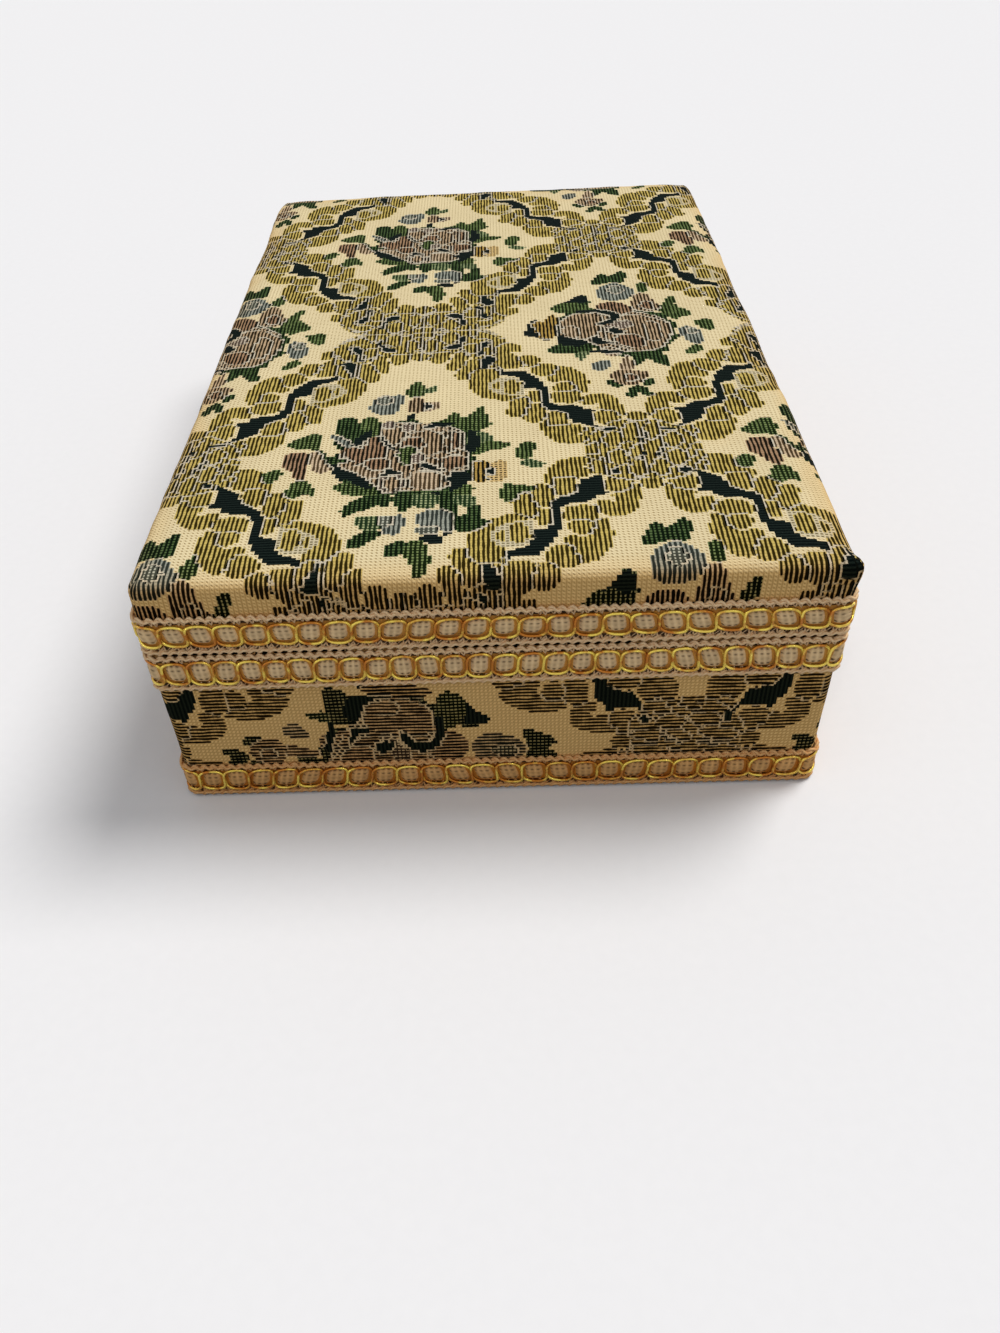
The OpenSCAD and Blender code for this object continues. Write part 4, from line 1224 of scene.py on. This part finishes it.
def slab(name, low, high, axis, sign, material, soft, seed):
    """A thin panel with a soft face. Its back is flat; its face stands off it by the panel's
    thickness times a quarter-round fall at each edge, with slight ripples: depth =
    thick * round(p) * round(q) * (1 + ripple)."""
    low, high = np.array(low), np.array(high)
    a, b = [i for i in range(3) if i != axis]
    cols, rows = (max(8, int((high[i] - low[i]) / (3 * MM))) for i in (a, b))

    def spaced(n):
        """n + 1 shares of the width, closer together near both ends."""
        e = np.linspace(0, 1, n + 1)
        near = e[1] * np.array([0.1, 0.3, 0.6])
        return np.unique(np.concatenate([e, near, 1 - near]))

    p, q = np.meshgrid(*(low[i] + spaced(n) * (high[i] - low[i]) for i, n in ((a, cols), (b, rows))))
    thick = high[axis] - low[axis]
    round_off = 1.0
    for value, i in ((p, a), (q, b)):
        edge = np.minimum(value - low[i], high[i] - value)
        round_off = round_off * np.sqrt(np.clip(1 - (1 - np.clip(edge / soft, 0, 1)) ** 2, 0, 1))
    ripple = 0.05 * lumps(p, q, 0.035, seed) + 0.03 * lumps(p, q * 0.3, 0.012, seed + 1) - 0.08
    depth = thick * round_off * (1 + ripple)
    faces = []
    for out in (depth, 0 * depth):
        point = np.zeros(p.shape + (3,))
        point[..., a], point[..., b] = p, q
        point[..., axis] = (low[axis] + out) if sign > 0 else (high[axis] - out)
        faces.append(point)
    turned = (sign > 0) == (axis != 1)          # dcol x drow points along +x, -y or +z
    uv = np.stack([p, q], axis=-1) / MM
    grids = [(faces[0] if turned else faces[0][:, ::-1], uv if turned else uv[:, ::-1]),
             (faces[1][:, ::-1] if turned else faces[1], uv[:, ::-1] if turned else uv)]
    return grids_object(name, grids, material)


def linings(body, prefix, low_z, high_z):
    """The four wall panels of one half: satin over thin card, softly padded."""
    x, y = 83.8, (-133.8, 133.4)
    walls = (("left", (-85.35, -133.7, low_z), (-x, 133.3, high_z), 0, 1),
             ("right", (x, -133.7, low_z), (85.35, 133.3, high_z), 0, -1),
             ("front", (-x, -135.35, low_z), (x, y[0], high_z), 1, 1),
             ("back", (-x, y[1], low_z), (x, 134.95, high_z), 1, -1))
    for i, (wall, low, high, axis, sign) in enumerate(walls):
        panel = slab(f"{prefix}_{wall}_satin", np.array(low) * MM, np.array(high) * MM, axis, sign,
                     SATIN, 0.9 * MM, 20 + i + len(prefix))
        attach(panel, body)
        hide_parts(f"{prefix}_{wall}_lining")


linings("base", "base", 4.35, 53.5)
linings("lid", "lid", 55.8, 71.15)


def puffed_pad(name, low, high, up, limit):
    """A flat satin pad: a slab a little under size, filled by cloth simulation. Its base stays
    flat on the board, and no point moves out by more than the limit."""
    low, high = np.array(low) * MM, np.array(high) * MM
    shrink = np.array([0.8, 0.8, 0.5]) * MM
    start = slab(name + "_start", low + shrink * (1, 1, 0), high - shrink * (1, 1, 1), 2, 1, SATIN,
                 1.6 * MM, 40 + len(name))
    mesh = start.data
    bpy.data.objects.remove(start)
    pad = put_in_scene(name, mesh)
    remesh = pad.modifiers.new("even", "REMESH")
    remesh.mode, remesh.voxel_size = "VOXEL", 2.6 * MM
    bake_modifiers(pad)
    rest = mesh_points(pad)
    cloth = pad.modifiers.new("fill", "CLOTH")
    settings = cloth.settings
    settings.quality, settings.mass = 5, 0.2
    settings.use_pressure, settings.uniform_pressure_force = True, 4.0
    settings.tension_stiffness = settings.compression_stiffness = 12
    settings.shear_stiffness, settings.bending_stiffness = 4, 0.3
    settings.effector_weights.gravity = 0
    cloth.collision_settings.use_self_collision = False
    for frame_number in range(1, 21):
        bpy.context.scene.frame_set(frame_number)
    bake_modifiers(pad)
    bpy.context.scene.frame_set(1)
    points = mesh_points(pad)
    step = points - rest
    reach = np.linalg.norm(step, axis=1, keepdims=True)
    points = rest + step * np.minimum(1, limit * MM / np.maximum(reach, 1e-9))
    points = np.clip(points, (low[0], low[1], low[2]), (high[0], high[1], high[2] + limit * MM))
    if not up:
        points[:, 2] = low[2] + high[2] - points[:, 2]
    pad.data.vertices.foreach_set("co", points.ravel())
    pad.data.update()
    if not up:
        pad.data.flip_normals()
    smooth = pad.modifiers.new("fine", "SUBSURF")
    smooth.levels = smooth.render_levels = 1
    bake_modifiers(pad)
    smooth_shaded(pad.data)
    if not pad.data.materials:
        pad.data.materials.append(SATIN)
    return pad


def bake_modifiers(obj):
    """Writes what the modifiers make of the object into its own mesh, and drops them."""
    shown = obj.evaluated_get(bpy.context.evaluated_depsgraph_get())
    mesh = bpy.data.meshes.new_from_object(shown)
    obj.modifiers.clear()
    obj.data = mesh


def mesh_points(obj):
    co = np.empty(len(obj.data.vertices) * 3)
    obj.data.vertices.foreach_get("co", co)
    return co.reshape(-1, 3)


for name, body, node, up in (("floor_pad", "base", "base_floor_pad", True),
                             ("ceiling_pad", "lid", "lid_ceiling_pad", False)):
    low, high = (np.array(c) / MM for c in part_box(node))
    pad = puffed_pad(name, low, high, up, 2.0)
    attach(pad, body)
    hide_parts(node)


def inner_hinge():
    """The satin strip over the inside of the seam: flat on the back lining at both edges, with
    a little slack standing into the box at the seam so that the lid can open."""
    half, lining = 83.7, 133.3                     # the strip's half width, the lining's face
    w, h = np.meshgrid(np.linspace(half, -half, 90), np.linspace(-10.9, 10.9, 41))
    slack = 2.0 * np.exp(-(h / 3.4) ** 2) * (1 + 0.12 * lumps(w, h * 0.5, 26, 9))
    ends = np.clip((half - np.abs(w)) / 2, 0, 1) ** 0.5
    y = lining - 0.12 - slack * ends
    points = np.stack([-w, y, SEAM_Z / MM + h], axis=-1) * MM
    return grids_object("inner_strip", [(points, np.stack([w, h], axis=-1))], SATIN)


inner_strip = inner_hinge()
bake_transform(inner_strip)
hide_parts("inner_hinge_cloth_base_leaf", "inner_hinge_cloth_lid_leaf")


# What the cloth covers: wadding, greyboard and the paper under the box.


def wadding_finish():
    """Thin white wadding: loose matted fibres."""
    f = Finish("thin wadding", 0.95, Specular_IOR_Level=0.1)
    matted = f.noise(f.place(), 700.0, 5.0, 0.7)
    colour = f.mix(matted.rise(0.3, 0.7), srgb(206, 202, 192), srgb(240, 238, 230))
    return f.finish(colour, matted, 0.3 * MM)


def board_finish():
    """Greyboard: grey-brown pulp with darker and paler flecks, a little rough."""
    f = Finish("greyboard pulp", 0.9, Specular_IOR_Level=0.2)
    pulp = f.noise(f.place(), 350.0, 5.0, 0.7)
    fleck = f.noise(f.place(), 1400.0, 2.0).rise(0.62, 0.72)
    colour = f.mix(pulp.rise(0.3, 0.7), srgb(146, 138, 126), srgb(178, 168, 150))
    colour = f.mix(fleck * 0.5, colour, srgb(92, 84, 74))
    return f.finish(colour, pulp, 0.1 * MM)


def foot_paper_finish():
    """Matt brown lining paper, with faint laid lines and scuffs where it has stood."""
    f = Finish("brown lining paper", 0.8, Specular_IOR_Level=0.3)
    x, y, _ = f.parts(f.place())
    laid = (x * 5200).sin() * 0.5 + 0.5
    scuff = f.noise(f.place(), 60.0, 4.0, 0.65)
    colour = f.mix(scuff.rise(0.45, 0.75), srgb(108, 82, 58), srgb(146, 118, 88))
    colour = f.lighten(colour, 0.95 + laid * 0.08)
    return f.finish(colour, laid * 0.3 + scuff, 0.05 * MM)


low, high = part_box("lid_wadding")
wadding = slab("top_wadding", (low[0] + MM, low[1] + MM, low[2]),
               (high[0] - MM, high[1] - MM, high[2]), 2, 1, wadding_finish(), 3 * MM, 60)
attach(wadding, "lid")
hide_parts("lid_wadding")

board, paper = board_finish(), foot_paper_finish()
for name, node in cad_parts.items():
    if name.endswith("_board") or name == "base_foot_sheet":
        for held in node.material_slots:
            held.material = paper if name == "base_foot_sheet" else board


# Camera, floor and light.


def set_scene():
    """The photograph's viewpoint, a pale floor, a soft key light from behind on the right, a
    wide one overhead, a small faint one from the front left for the glints, and an even sky.
    To the camera the floor is its own pale grey; the light that it throws back up is less, as
    in the photograph, whose front face is in shade."""
    lens = bpy.data.cameras.new("view")
    lens.lens, lens.sensor_width, lens.sensor_fit = 28.15, 36.0, "AUTO"
    lens.shift_x, lens.shift_y, lens.clip_start = 0.0225, -0.0011, 0.01
    camera = put_in_scene("view", lens)
    camera.location = (0.0035, -0.3415, 0.2300)
    camera.rotation_euler = [math.radians(a) for a in (47.838, 2.561, 0.333)]
    bpy.context.scene.camera = camera
    bpy.context.scene.view_settings.view_transform = "Standard"

    for name, strength, spread, towards, colour in (
            ("key", 2.20, 27, (0.56, 0.36, 1.0), (1.0, 1.0, 0.99)),
            ("overhead", 0.32, 60, (-0.05, -0.30, 1.0), (0.98, 0.99, 1.0)),
            ("window", 0.20, 5, (-0.35, -0.75, 1.0), (1.0, 1.0, 1.0))):
        lamp = bpy.data.lights.new(name, "SUN")
        lamp.energy, lamp.angle, lamp.color = strength, math.radians(spread), colour
        holder = put_in_scene(name, lamp)
        holder.rotation_euler = mathutils.Vector(towards).to_track_quat("Z", "Y").to_euler()

    world = bpy.data.worlds.new("sky")
    bpy.context.scene.world = world
    world.use_nodes = True
    tree = world.node_tree
    sky = tree.nodes["Background"]
    sky.inputs["Color"].default_value = (0.93, 0.965, 1.02, 1)
    sky.inputs["Strength"].default_value = 0.295
    white = tree.nodes.new("ShaderNodeBackground")
    white.inputs["Color"].default_value = (*srgb(241, 239, 238), 1)
    seen = seen_directly(tree)
    mix = tree.nodes.new("ShaderNodeMixShader")
    tree.links.new(seen, mix.inputs[0])
    tree.links.new(sky.outputs[0], mix.inputs[1])
    tree.links.new(white.outputs[0], mix.inputs[2])
    tree.links.new(mix.outputs[0], tree.nodes["World Output"].inputs["Surface"])

    side = 6.0
    mesh = bpy.data.meshes.new("floor")
    mesh.from_pydata([(-side, -side, 0), (side, -side, 0), (side, side, 0), (-side, side, 0)], [],
                     [(0, 1, 2, 3)])
    f = Finish("pale floor", 0.9, Specular_IOR_Level=0.0)
    grain = f.noise(f.place(), 300.0, 2.0)
    own = f.lighten(f.wire(f.add("ShaderNodeRGB").outputs[0]), 0.985 + grain * 0.03)
    f.tree.nodes["RGB"].outputs[0].default_value = (*srgb(241, 239, 239), 1)
    colour = f.mix(f.wire(seen_directly(f.tree)), (0.39, 0.39, 0.385), own)
    floor = new_object("floor", mesh, f.finish(colour))


def seen_directly(tree):
    """1 on rays from the camera, or seen in a gloss or through glass."""
    path = tree.nodes.new("ShaderNodeLightPath")
    total = path.outputs["Is Camera Ray"]
    for name in ("Is Glossy Ray", "Is Transmission Ray"):
        add = tree.nodes.new("ShaderNodeMath")
        add.operation, add.use_clamp = "ADD", True
        tree.links.new(total, add.inputs[0])
        tree.links.new(path.outputs[name], add.inputs[1])
        total = add.outputs[0]
    return total


set_scene()
